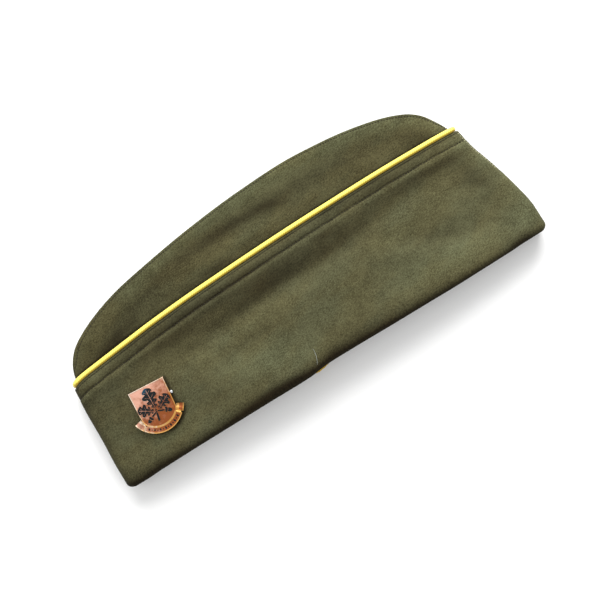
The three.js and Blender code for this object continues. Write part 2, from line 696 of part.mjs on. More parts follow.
// Stands the badge on the cloth at its place, square to the surface there.
function placeBadge(badge) {
  const reach = SHIELD_WIDTH / 2;
  const ahead = upperSkin(BADGE_ALONG + reach, BADGE_UP).sub(upperSkin(BADGE_ALONG - reach, BADGE_UP));
  const upward = upperSkin(BADGE_ALONG, BADGE_UP + reach).sub(upperSkin(BADGE_ALONG, BADGE_UP - reach));
  const normal = ahead.clone().cross(upward).normalize();
  const right = ahead.normalize().applyAxisAngle(normal, THREE.MathUtils.degToRad(BADGE_TURN));
  const up = normal.clone().cross(right);
  badge.quaternion.setFromRotationMatrix(new THREE.Matrix4().makeBasis(right, up, normal));
  badge.position.copy(upperSkin(BADGE_ALONG, BADGE_UP));
  return badge;
}

// A bit of tape that lies on the inside of the upper hem and looks out at the mouth.
function makeEdgeTab() {
  const hemDepth = 2 * LIP_OUTER;
  const tabDepth = hemDepth + CLEARANCE;
  const inward = LIP_OUTER + TAB_REACH;
  const downs = [-TAB_SHOWS, 0, inward / 2, inward];
  const outer = downs.map((y) => ({ y, wall: 0 }));
  const inner = downs.map((y) => ({ y, wall: TAB_CLOTH }));
  const places = Array.from({ length: TAB_STEPS + 1 }, (_, i) => i / TAB_STEPS);
  const pointAt = (item, place) => {
    const wave = TAB_RUFFLE * Math.sin(2 * Math.PI * TAB_WAVES * place);
    const ruffle = wave * clampShare(1 - item.y / LIP_OUTER);
    const x = TAB_ALONG + TAB_LENGTH * (place - 0.5);
    const seat = layerHeight(1, x, Math.max(item.y, LIP_OUTER), tabDepth + item.wall, 1);
    return new THREE.Vector3(x, item.y + ruffle, seat - clampShare(-item.y) * TAB_DROOP);
  };
  return makeMesh('edge_tab', sweepWall(outer, inner, places, pointAt), MATERIALS.piping);
}

const cap = new THREE.Group();
cap.add(makeCrownPanel('crown_left', 1, LEFT_STEPS + EXTRA_CROWN_STEPS));
cap.add(makeCrownPanel('crown_right', -1, RIGHT_STEPS + EXTRA_CROWN_STEPS));
cap.add(makeGusset());
cap.add(makeCurtain('curtain_left', 1, LEFT_STEPS));
cap.add(makeCurtain('curtain_right', -1, RIGHT_STEPS));
cap.add(makePiping('piping_left', 1, LEFT_CORD_STEPS));
cap.add(makePiping('piping_right', -1, RIGHT_CORD_STEPS));
cap.add(placeBadge(makeBadge()));
cap.add(makeEdgeTab());

// Moves the origin under the middle of the cap.
const group = new THREE.Group();
group.add(cap);
group.updateMatrixWorld(true);
const box = new THREE.Box3().setFromObject(cap, true);
const centre = box.getCenter(new THREE.Vector3());
cap.position.set(-centre.x, -centre.y, -box.min.z);

export default group;
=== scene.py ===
# %% [markdown]
# # A wool garrison cap
# This lesson dresses a plain frame of solids as a real cap: wool serge panels, a yellow corded edge,
# rows of machine stitching and a small struck badge. The frame gives every place and size, so the
# first step is to load it.

import math

import bmesh
import bpy
import numpy as np
from mathutils import Matrix, Vector


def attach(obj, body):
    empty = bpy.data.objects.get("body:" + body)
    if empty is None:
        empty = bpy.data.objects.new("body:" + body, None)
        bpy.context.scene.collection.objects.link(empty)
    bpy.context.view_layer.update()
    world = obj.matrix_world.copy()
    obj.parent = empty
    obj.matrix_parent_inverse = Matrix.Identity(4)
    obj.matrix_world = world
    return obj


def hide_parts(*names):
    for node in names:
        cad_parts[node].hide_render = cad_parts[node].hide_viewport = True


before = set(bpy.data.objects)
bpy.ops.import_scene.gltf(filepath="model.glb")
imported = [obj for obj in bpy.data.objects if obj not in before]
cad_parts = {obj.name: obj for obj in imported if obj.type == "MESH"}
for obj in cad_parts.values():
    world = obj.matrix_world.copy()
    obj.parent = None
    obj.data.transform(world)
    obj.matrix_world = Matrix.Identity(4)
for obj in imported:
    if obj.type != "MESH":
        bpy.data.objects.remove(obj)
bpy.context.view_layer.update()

# %% [markdown]
# ## Camera
# The cap was photographed from straight above, turned 32 degrees in the picture. A 70 mm lens about
# 0.68 m up gives the same slight perspective as the photograph.

# %% Camera
PICTURE_TURN = math.radians(32.0)
CAMERA_PLACE = (-0.0012, -0.0155, 0.680)
LENS_MM = 70.0

camera_data = bpy.data.cameras.new("camera")
camera_data.lens = LENS_MM
camera_data.sensor_width = 36.0
camera = bpy.data.objects.new("camera", camera_data)
camera.location = CAMERA_PLACE
camera.rotation_euler = (0.0, 0.0, -PICTURE_TURN)
bpy.context.scene.collection.objects.link(camera)
bpy.context.scene.camera = camera
print("camera at", CAMERA_PLACE)

# %% [markdown]
# ## Helpers for nodes
# A material is a graph of nodes. A few small helpers keep the graphs short: one adds a node and fills
# its sockets, others start a material or a node group, and the rest do sums and mix colours. The last
# helper isn't about nodes: it turns a finished bmesh into a mesh.

# %% Node helpers


def add_node(tree, kind, settings=None, **sockets):
    """Adds a node; settings are its options and sockets its inputs, as values or as outputs to link."""
    node = tree.nodes.new(kind)
    for key, value in (settings or {}).items():
        setattr(node, key, value)
    for key, value in sockets.items():
        place = int(key[1:]) if key[0] == "i" and key[1:].isdigit() else key.replace("_", " ")
        target = node.inputs[place]
        if isinstance(value, bpy.types.NodeSocket):
            tree.links.new(value, target)
        else:
            target.default_value = value
    return node


def new_material(name, **values):
    """A material with its Principled shader and output alone; values fill the shader's sockets."""
    material = bpy.data.materials.new(name)
    material.use_nodes = True
    tree = material.node_tree
    tree.nodes.clear()
    shader = add_node(tree, "ShaderNodeBsdfPrincipled", **values)
    output = tree.nodes.new("ShaderNodeOutputMaterial")
    tree.links.new(shader.outputs["BSDF"], output.inputs["Surface"])
    return material, tree, shader


def new_group(name, inputs, outputs):
    """A node group with named sockets, each Color or Float, and its own input and output nodes."""
    group = bpy.data.node_groups.new(name, "ShaderNodeTree")
    for way, sockets in (("INPUT", inputs), ("OUTPUT", outputs)):
        for socket, kind in sockets.items():
            group.interface.new_socket(name=socket, in_out=way, socket_type="NodeSocket" + kind)
    return group, group.nodes.new("NodeGroupInput"), group.nodes.new("NodeGroupOutput")


def maths(tree, operation, *values):
    """The result of a Math node; values are numbers or outputs."""
    sockets = {f"i{place}": value for place, value in enumerate(values)}
    return add_node(tree, "ShaderNodeMath", {"operation": operation}, **sockets).outputs[0]


def swing(tree, noise, factor):
    """How far a noise stands from its middle, times factor."""
    return maths(tree, "MULTIPLY", maths(tree, "SUBTRACT", noise, 0.5), factor)


def fit(tree, value, low, high, to_low=0.0, to_high=1.0):
    """Maps value from low..high onto to_low..to_high, held at both ends."""
    ends = {"From_Min": low, "From_Max": high, "To_Min": to_low, "To_Max": to_high}
    node = add_node(tree, "ShaderNodeMapRange", {"interpolation_type": "SMOOTHSTEP"}, Value=value, **ends)
    return node.outputs["Result"]


def mix_colors(tree, share, first, second, blend="MIX"):
    """A colour between first and second; share is a number or an output."""
    settings = {"data_type": "RGBA", "blend_type": blend}
    return add_node(tree, "ShaderNodeMix", settings, i0=share, i6=first, i7=second).outputs[2]


def mesh_of(name, shape):
    """Turns a bmesh into a mesh and frees it."""
    mesh = bpy.data.meshes.new(name)
    shape.to_mesh(mesh)
    shape.free()
    return mesh


# %% [markdown]
# ## Floor and light
# The ground is a plain pale sheet. One broad lamp stands low behind the crown, a weak one above the
# front, and a pale world fills the shadows, as a window and white walls do. Folds that run along the
# cap show best so, since the light falls across them.

# %% Floor and light
FLOOR_COLOR = (0.90, 0.90, 0.895, 1.0)
FLOOR_REACH = 3.0
WORLD_STRENGTH = 0.78
LAMPS = [
    # name, place, power, size
    ("window", (0.50, 1.15, 0.80), 42.0, 1.3),
    ("white_wall", (-0.60, 0.10, 1.3), 3.0, 1.2),
]

floor_shape = bmesh.new()
bmesh.ops.create_grid(floor_shape, x_segments=1, y_segments=1, size=FLOOR_REACH)
floor = bpy.data.objects.new("floor", mesh_of("floor", floor_shape))
bpy.context.scene.collection.objects.link(floor)
floor.data.materials.append(new_material("floor_paper", Base_Color=FLOOR_COLOR, Roughness=0.9)[0])

for name, place, power, size in LAMPS:
    lamp_data = bpy.data.lights.new(name, "AREA")
    lamp_data.energy = power
    lamp_data.size = size
    lamp = bpy.data.objects.new(name, lamp_data)
    lamp.location = place
    lamp.rotation_euler = Vector(place).to_track_quat("Z", "Y").to_euler()
    bpy.context.scene.collection.objects.link(lamp)

world = bpy.data.worlds.new("world")
world.use_nodes = True
background = world.node_tree.nodes["Background"].inputs
background["Color"].default_value = (1.0, 1.0, 1.0, 1.0)
background["Strength"].default_value = WORLD_STRENGTH
bpy.context.scene.world = world
bpy.context.scene.view_settings.view_transform = "Standard"
print("lamps:", [lamp[0] for lamp in LAMPS])

# %% [markdown]
# ## The cap's outline in numbers
# The cloth follows the same few curves as the frame. They are short tables of shares, read as smooth
# curves: the section of the cap from its lower edge up, its two leaning ends, the course of the cord
# and the arched outline of the crown. All sizes here are in millimetres.

# %% Sizes and tables
CAP_LENGTH = 283.0
CROWN_HEIGHT = 112.0
CORD_HEIGHT = 77.4
BACK_LEAN = 15.0
FRONT_LEAN = 3.6
RIM_HALF = 9.0
MOUTH_BULGE = 8.0
FRONT_ROUND = 5.0
BACK_ROUND = 4.0
CORNER_ROUND = 1.5
LIP_OUTER = 3.5
CORD_RADIUS = 1.55
CORD_DEPTH = 0.3
CORD_LIFT = 1.5
FRONT_TUCK = 2.3
BACK_TUCK = 3.0
DENT_DEPTH = 2.0
DENT_FADE = 14.0
ARC_SHARE = 0.1
TIGHTEST_ROUND = 1.2
ORIGIN = (141.5, 55.03, 0.0)

SECTION_UP = [0.0, 0.20, 0.46, 0.60, 0.69, 0.86, 1.0]
SECTION_HALF = [1.0, 1.0, 0.97, 0.87, 0.83, 0.79, 0.78]
SECTION_BULGE = [1.0, 0.95, 0.76, 0.58, 0.46, 0.28, 0.18]
SECTION_LIFT = [0.0, 0.0, 0.0, 1.0, 1.0, -0.2, -0.6]
EDGE_UP = [0.0, 0.18, 0.41, 0.65, 0.82, 1.0]
EDGE_FRONT = [0.0, 0.08, 0.39, 0.56, 0.90, 1.0]
EDGE_BACK = [0.0, 0.01, 0.22, 0.56, 0.84, 1.0]
COURSE_ALONG = [0.011, 0.018, 0.028, 0.046, 0.074, 0.138, 0.230, 0.350, 0.594, 0.740, 0.880, 0.940]
COURSE_HEIGHT = [0.805, 0.845, 0.868, 0.882, 0.893, 0.916, 0.947, 0.972, 0.996, 0.999, 0.990, 0.980]
CROWN_PLACE = [
    0.0, 0.05, 0.10, 0.16, 0.22, 0.30, 0.38, 0.46, 0.54,
    0.62, 0.70, 0.78, 0.84, 0.87, 0.90, 0.95, 1.0,
]
CROWN_ALONG = [
    0.0233, 0.0270, 0.0364, 0.0550, 0.1000, 0.1840, 0.2830, 0.3890, 0.4950,
    0.6010, 0.7070, 0.8080, 0.8720, 0.9010, 0.9225, 0.9280, 0.9290,
]
CROWN_UP = [
    0.566, 0.624, 0.681, 0.744, 0.814, 0.887, 0.932, 0.968, 0.991,
    1.0, 0.981, 0.936, 0.879, 0.824, 0.738, 0.708, 0.680,
]
# Dents and swells: along, up, turn in degrees, long, wide, deep, as shares of the cap's sides
DENTS = [
    (0.155, 0.735, 18, 0.120, 0.055, 0.60),
    (0.450, 0.890, 2, 0.170, 0.050, 0.60),
    (0.790, 0.830, -12, 0.130, 0.055, 0.45),
    (0.430, 0.790, -8, 0.110, 0.050, -0.40),
    (0.450, 0.458, 2, 0.230, 0.060, 1.05),
    (0.780, 0.495, 0, 0.130, 0.045, 0.70),
    (0.450, 0.370, 0, 0.260, 0.120, -0.55),
    (0.380, 0.320, 0, 0.070, 0.045, 0.35),
    (0.780, 0.290, -24, 0.110, 0.055, 0.60),
    (0.800, 0.180, -24, 0.120, 0.060, -0.40),
    (0.915, 0.430, 70, 0.050, 0.050, 0.35),
]
DENTS_IN_MM = [
    (along * CAP_LENGTH, up * CROWN_HEIGHT, turn, long * CAP_LENGTH, wide * CROWN_HEIGHT, deep)
    for along, up, turn, long, wide, deep in DENTS
]


def read_curve(inputs, outputs, at):
    """A smooth curve through a table's rows that never overshoots them."""
    inputs, outputs = np.asarray(inputs, float), np.asarray(outputs, float)
    at = np.clip(at, inputs[0], inputs[-1])
    slopes = np.diff(outputs) / np.diff(inputs)
    before, after = slopes[:-1], slopes[1:]
    same_way = before * after > 0
    inner = np.where(same_way, 2 * before * after / np.where(same_way, before + after, 1.0), 0.0)
    tangents = np.concatenate([slopes[:1], inner, slopes[-1:]])
    row = np.clip(np.searchsorted(inputs, at, side="left") - 1, 0, len(inputs) - 2)
    step = inputs[row + 1] - inputs[row]
    t = (at - inputs[row]) / step
    ease = t * t * (3 - 2 * t)
    lift = step * t * (1 - t) * ((1 - t) * tangents[row] - t * tangents[row + 1])
    return outputs[row] + (outputs[row + 1] - outputs[row]) * ease + lift


cord_half = RIM_HALF * float(read_curve(SECTION_UP, SECTION_HALF, CORD_HEIGHT / CROWN_HEIGHT))
print("half thickness at the cord, mm:", round(cord_half, 2))

# %% [markdown]
# ## From the tables to places on the cap
# These functions give any point of the cloth. x runs along the cap from its front, y up from its
# lower edge, and depth is how far a layer of cloth lies below the curtain's outer face. They take
# arrays, so thousands of points are placed at once.

# %% Places on the cap


def smooth(share):
    share = np.clip(share, 0.0, 1.0)
    return share * share * (3 - 2 * share)


def bell(value, middle, width):
    """1 at the middle, fading softly to both sides."""
    return np.exp(-(((value - middle) / width) ** 2))


def half_thickness(y):
    return RIM_HALF * read_curve(SECTION_UP, SECTION_HALF, y / CROWN_HEIGHT)


def seam_height(y):
    return half_thickness(y) + CORD_LIFT * read_curve(SECTION_UP, SECTION_LIFT, y / CROWN_HEIGHT)


def corner_inset(y):
    low = np.maximum(LIP_OUTER - y, 0.0) / LIP_OUTER
    return CORNER_ROUND * (1 - np.sqrt(np.maximum(1 - low * low, 0.0)))


def front_edge(y):
    return FRONT_LEAN * read_curve(EDGE_UP, EDGE_FRONT, y / CORD_HEIGHT) + corner_inset(y)


def back_edge(y):
    return CAP_LENGTH - BACK_LEAN * read_curve(EDGE_UP, EDGE_BACK, y / CORD_HEIGHT) - corner_inset(y)


def soft_ovals(rows, x, y):
    """Sum of soft oval bumps, given as x, y, turn in degrees, long, wide and amount."""
    total = np.zeros(np.broadcast(x, y).shape)
    for middle_x, middle_y, turn, long, wide, amount in rows:
        cosine, sine = math.cos(math.radians(turn)), math.sin(math.radians(turn))
        dx, dy = x - middle_x, y - middle_y
        lengthwise, crosswise = (dx * cosine + dy * sine) / long, (dy * cosine - dx * sine) / wide
        total = total + amount * np.exp(-lengthwise * lengthwise - crosswise * crosswise)
    return total


def upper_shape(x, y):
    """How far the upper side stands above a flat cap: the mouth's bulge with its dents."""
    front, back = front_edge(y), back_edge(y)
    from_middle = (2 * x - front - back) / (back - front)
    arch = np.power(np.maximum(1 - from_middle * from_middle, 0.0), 0.9)
    bulge = MOUTH_BULGE * read_curve(SECTION_UP, SECTION_BULGE, y / CROWN_HEIGHT) * arch
    dent = soft_ovals(DENTS_IN_MM, x, y)
    return bulge - DENT_DEPTH * dent * smooth(np.minimum(x - front, back - x) / DENT_FADE)


def along_layer(place, front, back, front_round, back_round):
    """x of a place from 0 at the front rim to 1 at the back rim, and how far the layer has opened."""
    low = np.clip(place / ARC_SHARE, 0, 1) * math.pi / 2
    high = np.clip((1 - place) / ARC_SHARE, 0, 1) * math.pi / 2
    share = (place - ARC_SHARE) / (1 - 2 * ARC_SHARE)
    start, end = front + front_round, back - back_round
    x = start + (end - start) * share
    x = np.where(place < ARC_SHARE, front + front_round * (1 - np.cos(low)), x)
    x = np.where(place > 1 - ARC_SHARE, back - back_round * (1 - np.cos(high)), x)
    opened = np.where(place > 1 - ARC_SHARE, np.sin(high), 1.0)
    opened = np.where(place < ARC_SHARE, np.sin(low), opened)
    return x, opened


def cloth_length(side, place, x, back_x):
    """Length along the cloth, which goes on evenly round both rims and back along the other side."""
    _, opened = along_layer(place, 0.0, 1.0, 0.0, 0.0)
    along = x + np.where(place < 0.5, -RIM_HALF, RIM_HALF) * (1 - opened)
    return np.where(side > 0, along, 2 * (back_x + RIM_HALF) - along)


def layer_height(side, x, y, depth, opened):
    """Height of a layer: side is 1 for the left, upper half and -1 for the right half."""
    away = (half_thickness(y) - depth) * opened
    return seam_height(y) + side * away + (upper_shape(x, y) if side > 0 else 0.0)


def cap_layer(place, y, depth):
    """x along a layer of the cap at height y and a depth below the outer face, and how far it has opened."""
    rounds = (np.maximum(rim - depth, TIGHTEST_ROUND) for rim in (FRONT_ROUND, BACK_ROUND))
    return along_layer(place, front_edge(y) + depth, back_edge(y) - depth, *rounds)


def curtain_point(side, place, y, depth):
    x, opened = cap_layer(place, y, depth)
    return np.stack(np.broadcast_arrays(x, y, layer_height(side, x, y, depth, opened)), axis=-1)


def tuck(place):
    """How much deeper the cord and the crown lie where they turn round the two rims."""
    return FRONT_TUCK * (1 - smooth(place / ARC_SHARE)) + BACK_TUCK * (1 - smooth((1 - place) / ARC_SHARE))


def cord_height(place):
    start = front_edge(COURSE_HEIGHT[0] * CORD_HEIGHT) + CORD_DEPTH
    x, _ = along_layer(place, start, CAP_LENGTH - BACK_LEAN, FRONT_ROUND, BACK_ROUND)
    x = x + np.where(place < 0.5, tuck(place), 0.0)
    return CORD_HEIGHT * read_curve(COURSE_ALONG, COURSE_HEIGHT, x / CAP_LENGTH)


def cord_point(side, place):
    return curtain_point(side, place, cord_height(place), CORD_DEPTH + tuck(place))


def row_frame(points):
    """Millimetres from the front and the lower edge to metres in the frame's own axes."""
    return (np.asarray(points, float) - ORIGIN) / 1000.0


print("seam plane at the lower edge, mm:", round(float(seam_height(0.0)), 2))

# %% [markdown]
# ## Round the cap in one go
# The turned-up curtain is one band of cloth that runs round the cap, so its mesh does too: a grid
# whose columns go along the left side and back along the right one, and whose rows go round the
# band's thickness. Where the two ends of the grid meet, its double points are merged, which leaves
# one closed wall. The columns stand close together where the cloth bends round the ends.

# %% Columns round the cap and closed walls
BEND_COLUMNS = 9


def rim_to_rim(steps):
    """Places from the front rim to the back rim, close together round both bends."""
    bend = np.linspace(0.0, ARC_SHARE, BEND_COLUMNS + 1)
    middle = np.linspace(ARC_SHARE, 1 - ARC_SHARE, steps + 1)
    return np.concatenate([bend[:-1], middle, 1 - bend[:-1][::-1]])


def round_the_cap(left_steps, right_steps):
    """Side and place of each column, from the front rim round the cap to the front rim again."""
    left, right = rim_to_rim(left_steps), rim_to_rim(right_steps)[::-1]
    side = np.concatenate([np.ones(len(left)), -np.ones(len(right) - 1)])
    return side, np.concatenate([left, right[1:]])


def rework(mesh, change):
    """Lets change work on a mesh as a bmesh, then turns its faces outward."""
    shape = bmesh.new()
    shape.from_mesh(mesh)
    change(shape)
    bmesh.ops.recalc_face_normals(shape, faces=shape.faces)
    shape.to_mesh(mesh)
    shape.free()


def grid_mesh(name, columns, rows, points_at, closed=True):
    """A grid moved point by point: points_at(column, row) gives millimetres, cloth UV and tone."""
    grid = bmesh.new()
    bmesh.ops.create_grid(grid, x_segments=columns, y_segments=rows, size=0.5)
    mesh = mesh_of(name, grid)
    flat = np.empty(len(mesh.vertices) * 3)
    mesh.vertices.foreach_get("co", flat)
    flat = flat.reshape(-1, 3)
    column = np.rint((flat[:, 0] + 0.5) * columns).astype(int)
    row = np.rint((flat[:, 1] + 0.5) * rows).astype(int)
    points, cloth_uv, tone = points_at(column, row)
    mesh.vertices.foreach_set("co", row_frame(points).ravel())
    corners = np.empty(len(mesh.loops), int)
    mesh.loops.foreach_get("vertex_index", corners)
    uv_map = mesh.uv_layers.new(name="cloth")
    uv_map.data.foreach_set("uv", (cloth_uv[corners] / 100.0).ravel())
    attribute = mesh.attributes.new("tone", "FLOAT", "POINT")
    attribute.data.foreach_set("value", np.broadcast_to(tone, len(mesh.vertices)).astype(float))
    if closed:
        rework(mesh, lambda shape: bmesh.ops.remove_doubles(shape, verts=shape.verts, dist=1e-6))
    mesh.polygons.foreach_set("use_smooth", np.ones(len(mesh.polygons), bool))
    mesh.update()
    return mesh


def add_piece(name, mesh, *materials):
    """Puts a finished mesh in the scene as a piece that rides on the cap."""
    piece = bpy.data.objects.new(name, mesh)
    for material in materials:
        mesh.materials.append(material)
    bpy.context.scene.collection.objects.link(piece)
    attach(piece, "root")
    print(name, "has", sum(len(p.vertices) - 2 for p in mesh.polygons), "triangles")
    return piece


# %% [markdown]
# ## Wool serge
# The cloth is a close olive serge: threads of several greens and browns, twisted and brushed, so that
# near by it is grainy and from afar mottled. One node group makes the colour and the height of the
# weave from the cloth's own UV map, which is in millimetres along and up the panel, so the grain keeps
# its size on every piece. Slow patches lean towards brown or green. The tone value paints shade, with
# some wear, where it is above 0, and paints light where it is below 0.

# %% Wool node group
BROWN_PATCH = (1.035, 0.990, 0.94, 1.0)
GREEN_PATCH = (0.985, 1.005, 1.03, 1.0)

wool_group, group_in, group_out = new_group(
    "wool_serge",
    {"Light": "Color", "Dark": "Color", "Worn": "Color", "Fresh": "Color", "Tone": "Float", "Grain": "Float"},
    {"Color": "Color", "Height": "Float"},
)
uv_node = add_node(wool_group, "ShaderNodeUVMap", {"uv_map": "cloth"})
in_mm = add_node(wool_group, "ShaderNodeMapping", Vector=uv_node.outputs["UV"], Scale=(100.0, 100.0, 100.0))
given = group_in.outputs


def wool(operation, *values):
    return maths(wool_group, operation, *values)


def wool_mix(share, first, second, blend="MIX"):
    return mix_colors(wool_group, share, first, second, blend)


def wool_noise(angle, along, across, detail, roughness, offset):
    """Noise stretched along a thread direction; along and across are sizes in millimetres."""
    place = {"Location": (offset, offset * 1.7, 0.0), "Rotation": (0.0, 0.0, math.radians(angle))}
    turned = add_node(wool_group, "ShaderNodeMapping", Vector=in_mm.outputs["Vector"], **place)
    size = (1.0 / along, 1.0 / across, 1.0)
    scaled = add_node(wool_group, "ShaderNodeMapping", Vector=turned.outputs["Vector"], Scale=size)
    look = {"Vector": scaled.outputs["Vector"], "Scale": 1.0, "Detail": detail, "Roughness": roughness}
    return add_node(wool_group, "ShaderNodeTexNoise", {"noise_dimensions": "2D"}, **look).outputs["Fac"]


def tinted(color, share, name):
    """Lays the thread colour times one of the group's colours over color, as far as share says."""
    return wool_mix(share, color, wool_mix(1.0, thread_color, given[name], "MULTIPLY"))


# angle, along, across, detail, roughness, offset: threads, fibres, mottle, clouds and hues
NOISES = [
    (-26.0, 1.5, 0.60, 3.0, 0.62, 3.0),
    (46.0, 0.95, 0.50, 3.0, 0.62, 11.0),
    (10.0, 0.30, 0.16, 2.0, 0.6, 23.0),
    (0.0, 7.0, 5.0, 3.0, 0.6, 41.0),
    (0.0, 42.0, 30.0, 2.0, 0.5, 67.0),
    (-12.0, 46.0, 20.0, 3.0, 0.55, 91.0),
]
twill, cross_threads, fibres, mottle, clouds, hues = (wool_noise(*row) for row in NOISES)
weave = wool("ADD", wool("MULTIPLY", twill, 0.5), wool("MULTIPLY", cross_threads, 0.5))
weave = wool("ADD", weave, swing(wool_group, fibres, 0.35))
grain = swing(wool_group, weave, given["Grain"])
patches = wool("ADD", swing(wool_group, mottle, 0.45), swing(wool_group, clouds, 0.5))
light_share = fit(wool_group, wool("ADD", wool("ADD", grain, patches), 0.5), 0.0, 1.0)
thread_color = wool_mix(light_share, given["Dark"], given["Light"])
hue_color = wool_mix(fit(wool_group, hues, 0.34, 0.66), BROWN_PATCH, GREEN_PATCH)
thread_color = wool_mix(1.0, thread_color, hue_color, "MULTIPLY")
# Painted shade, with some wear, where the tone is above 0, and painted light where it is below 0
shade_and_wear_color = tinted(thread_color, wool("MAXIMUM", given["Tone"], 0.0), "Worn")
lit_share = wool("MAXIMUM", wool("MULTIPLY", given["Tone"], -1.0), 0.0)
shade_and_wear_color = tinted(shade_and_wear_color, lit_share, "Fresh")
wool_group.links.new(shade_and_wear_color, group_out.inputs["Color"])
wool_group.links.new(weave, group_out.inputs["Height"])

# Colours that the tone lays over the wool: painted shade with some wear, and painted light
SHADE_AND_WEAR_WOOL = (0.17, 0.125, 0.10, 1.0)
LIT_WOOL = (1.45, 1.55, 1.62, 1.0)
GRAIN = 2.2
WEAVE_RELIEF = 0.00012


def wool_material(name, light, dark):
    """Wool from the node group, with a soft sheen of loose fibres."""
    sheen = {"Sheen_Weight": 0.05, "Sheen_Roughness": 0.5, "Sheen_Tint": (0.62, 0.62, 0.42, 1.0)}
    material, tree, shader = new_material(name, Roughness=0.95, Specular_IOR_Level=0.08, **sheen)
    tone = add_node(tree, "ShaderNodeAttribute", {"attribute_name": "tone"})
    colors = {"Light": light, "Dark": dark, "Worn": SHADE_AND_WEAR_WOOL, "Fresh": LIT_WOOL}
    values = {"Tone": tone.outputs["Fac"], "Grain": GRAIN}
    cloth = add_node(tree, "ShaderNodeGroup", {"node_tree": wool_group}, **colors, **values)
    tree.links.new(cloth.outputs["Color"], shader.inputs["Base Color"])
    relief = {"Strength": 0.7, "Distance": WEAVE_RELIEF}
    bump = add_node(tree, "ShaderNodeBump", Height=cloth.outputs["Height"], **relief)
    tree.links.new(bump.outputs["Normal"], shader.inputs["Normal"])
    return material


CURTAIN_WOOL = wool_material("curtain_wool", (0.098, 0.0955, 0.0475, 1.0), (0.0285, 0.0250, 0.0108, 1.0))
CROWN_WOOL = wool_material("crown_wool", (0.082, 0.078, 0.0370, 1.0), (0.0235, 0.0200, 0.0083, 1.0))
print("wool node group has", len(wool_group.nodes), "nodes")

# %% [markdown]
# ## Painted light and shade on the wool
# Brushed wool is darker where its nap lies away from the light and where it is rubbed, and lighter
# where it faces the light; here that is painted shade and painted highlight, with some wear. The marks
# are a table of soft ovals in millimetres, each with a turn and an amount. The lower lip carries
# painted shade and some soiling, the front rim and the inside painted shade, the back edge painted
# light, and a ring of cloth by the badge a painted shadow.

# %% Painted light and shade marks
# x, y, turn in degrees, long, wide, amount: painted shade above 0, painted light below
LIGHT_AND_SHADE_MARKS = [
    (108, 3, 0, 28, 4, 0.4), (140, 5, 0, 8, 3.5, 0.35), (268, 3, 0, 10, 3.5, 0.42),
    (24, 3, 0, 18, 3, 0.24), (132, 59, 2, 18, 6, 0.2), (150, 71.5, 0, 24, 3, -0.22),
    (76, 69, 3, 26, 3, 0.16), (240, 63.5, -6, 24, 3, 0.16), (172, 64, 0, 6, 3, 0.25),
    (190, 48.5, 0, 24, 3, 0.16), (80, 48, 0, 14, 3, 0.2), (100, 58, 2, 16, 3, -0.16),
    (121, 27, 0, 10, 6, -0.24), (264, 68, 0, 7, 9, -0.28), (10, 66.5, 10, 14, 2.5, -0.2),
    (204, 104, -8, 36, 5, -0.28), (247, 95, -40, 10, 4, -0.34), (66, 92, 24, 18, 3, -0.24),
    (146, 106, 0, 16, 4, -0.24), (110, 80, 1, 9, 1.8, 0.4), (112, 94.5, 2, 16, 3.5, 0.2),
    (120, 58, 2, 60, 5, 0.4), (98, 42.5, 0, 28, 4.5, -0.25), (255, 47, -30, 14, 4, 0.24),
    (124, 53.5, 3, 46, 4.5, 0.4), (172, 54, 2, 26, 5, 0.22), (66, 58, 0, 18, 4, 0.22),
    (102, 67, 3, 72, 5, 0.52), (186, 57, 0, 24, 5, 0.28), (205, 74, 0, 45, 3.5, 0.26),
    (232, 62.5, -4, 24, 3.5, 0.26), (261, 50, -55, 14, 6, 0.46), (230, 27, -24, 18, 4, 0.32),
    (103, 35, 0, 18, 4, 0.26), (22, 30, 90, 16, 5, 0.22), (222, 71, 0, 16, 3, 0.2),
    (20, 47, 0, 16, 10, 0.22), (70, 20, 0, 12, 12, 0.2), (100, 2, 0, 34, 5, 0.35),
    (162, 4, 0, 22, 5, 0.25), (110, 18, -24, 30, 9, -0.72), (36, 13, 0, 18, 4, -0.3),
    (64, 8, 0, 10, 4, -0.25), (230, 13, -4, 40, 9, -0.68), (274, 16, 0, 9, 18, -0.5),
    (218, 46, 4, 26, 8, -0.5), (160, 28, 0, 30, 10, -0.18), (18, 65, 20, 14, 4, -0.3),
    (253, 71, 0, 14, 4, -0.25), (134, 96.5, -3, 36, 4, 0.6), (158, 92, -30, 14, 4, 0.25),
    (85, 93, 12, 30, 4, 0.25), (108, 81.5, 2, 16, 2.5, 0.25), (48, 82, 24, 24, 6, 0.44),
    (34, 75, 10, 24, 4, 0.32), (196, 95, -3, 50, 6, 0.26), (243, 85, -30, 12, 6, 0.28),
    (72, 98, 14, 20, 3.2, -0.75), (236, 96, -30, 16, 3, -0.45), (140, 87, 0, 20, 3, -0.25),
]
# Painted shade on the lip with some soiling, painted shade on the front rim and painted light on the back
# edge: amount and how far it reaches
LIP_DARK, LIP_FADE, LIP_POWER = 1.0, 4.8, 1.6
RIM_DARK, RIM_FADE = 0.70, 3.6
BACK_LIGHT, BACK_FADE = 0.55, 9.0
# Painted shade on the cloth's inner layers: amount, and the depth where it is full
INSIDE_DARK, INSIDE_DEPTH = 0.5, 4.0
BADGE_ALONG, BADGE_UP, BADGE_TURN = 40.1, 32.6, -4.8
SHIELD_WIDTH, SHIELD_TOP, SCROLL_RADIUS = 22.2, 12.2, 16.0
# Ring of painted shadow by the badge: its shift, flare towards the scroll, amount and more of it below
RING_RIGHT, RING_DOWN, RING_FLARE, RING_DARK, RING_BELOW = 0.6, 0.8, 4.5, 0.66, 0.30


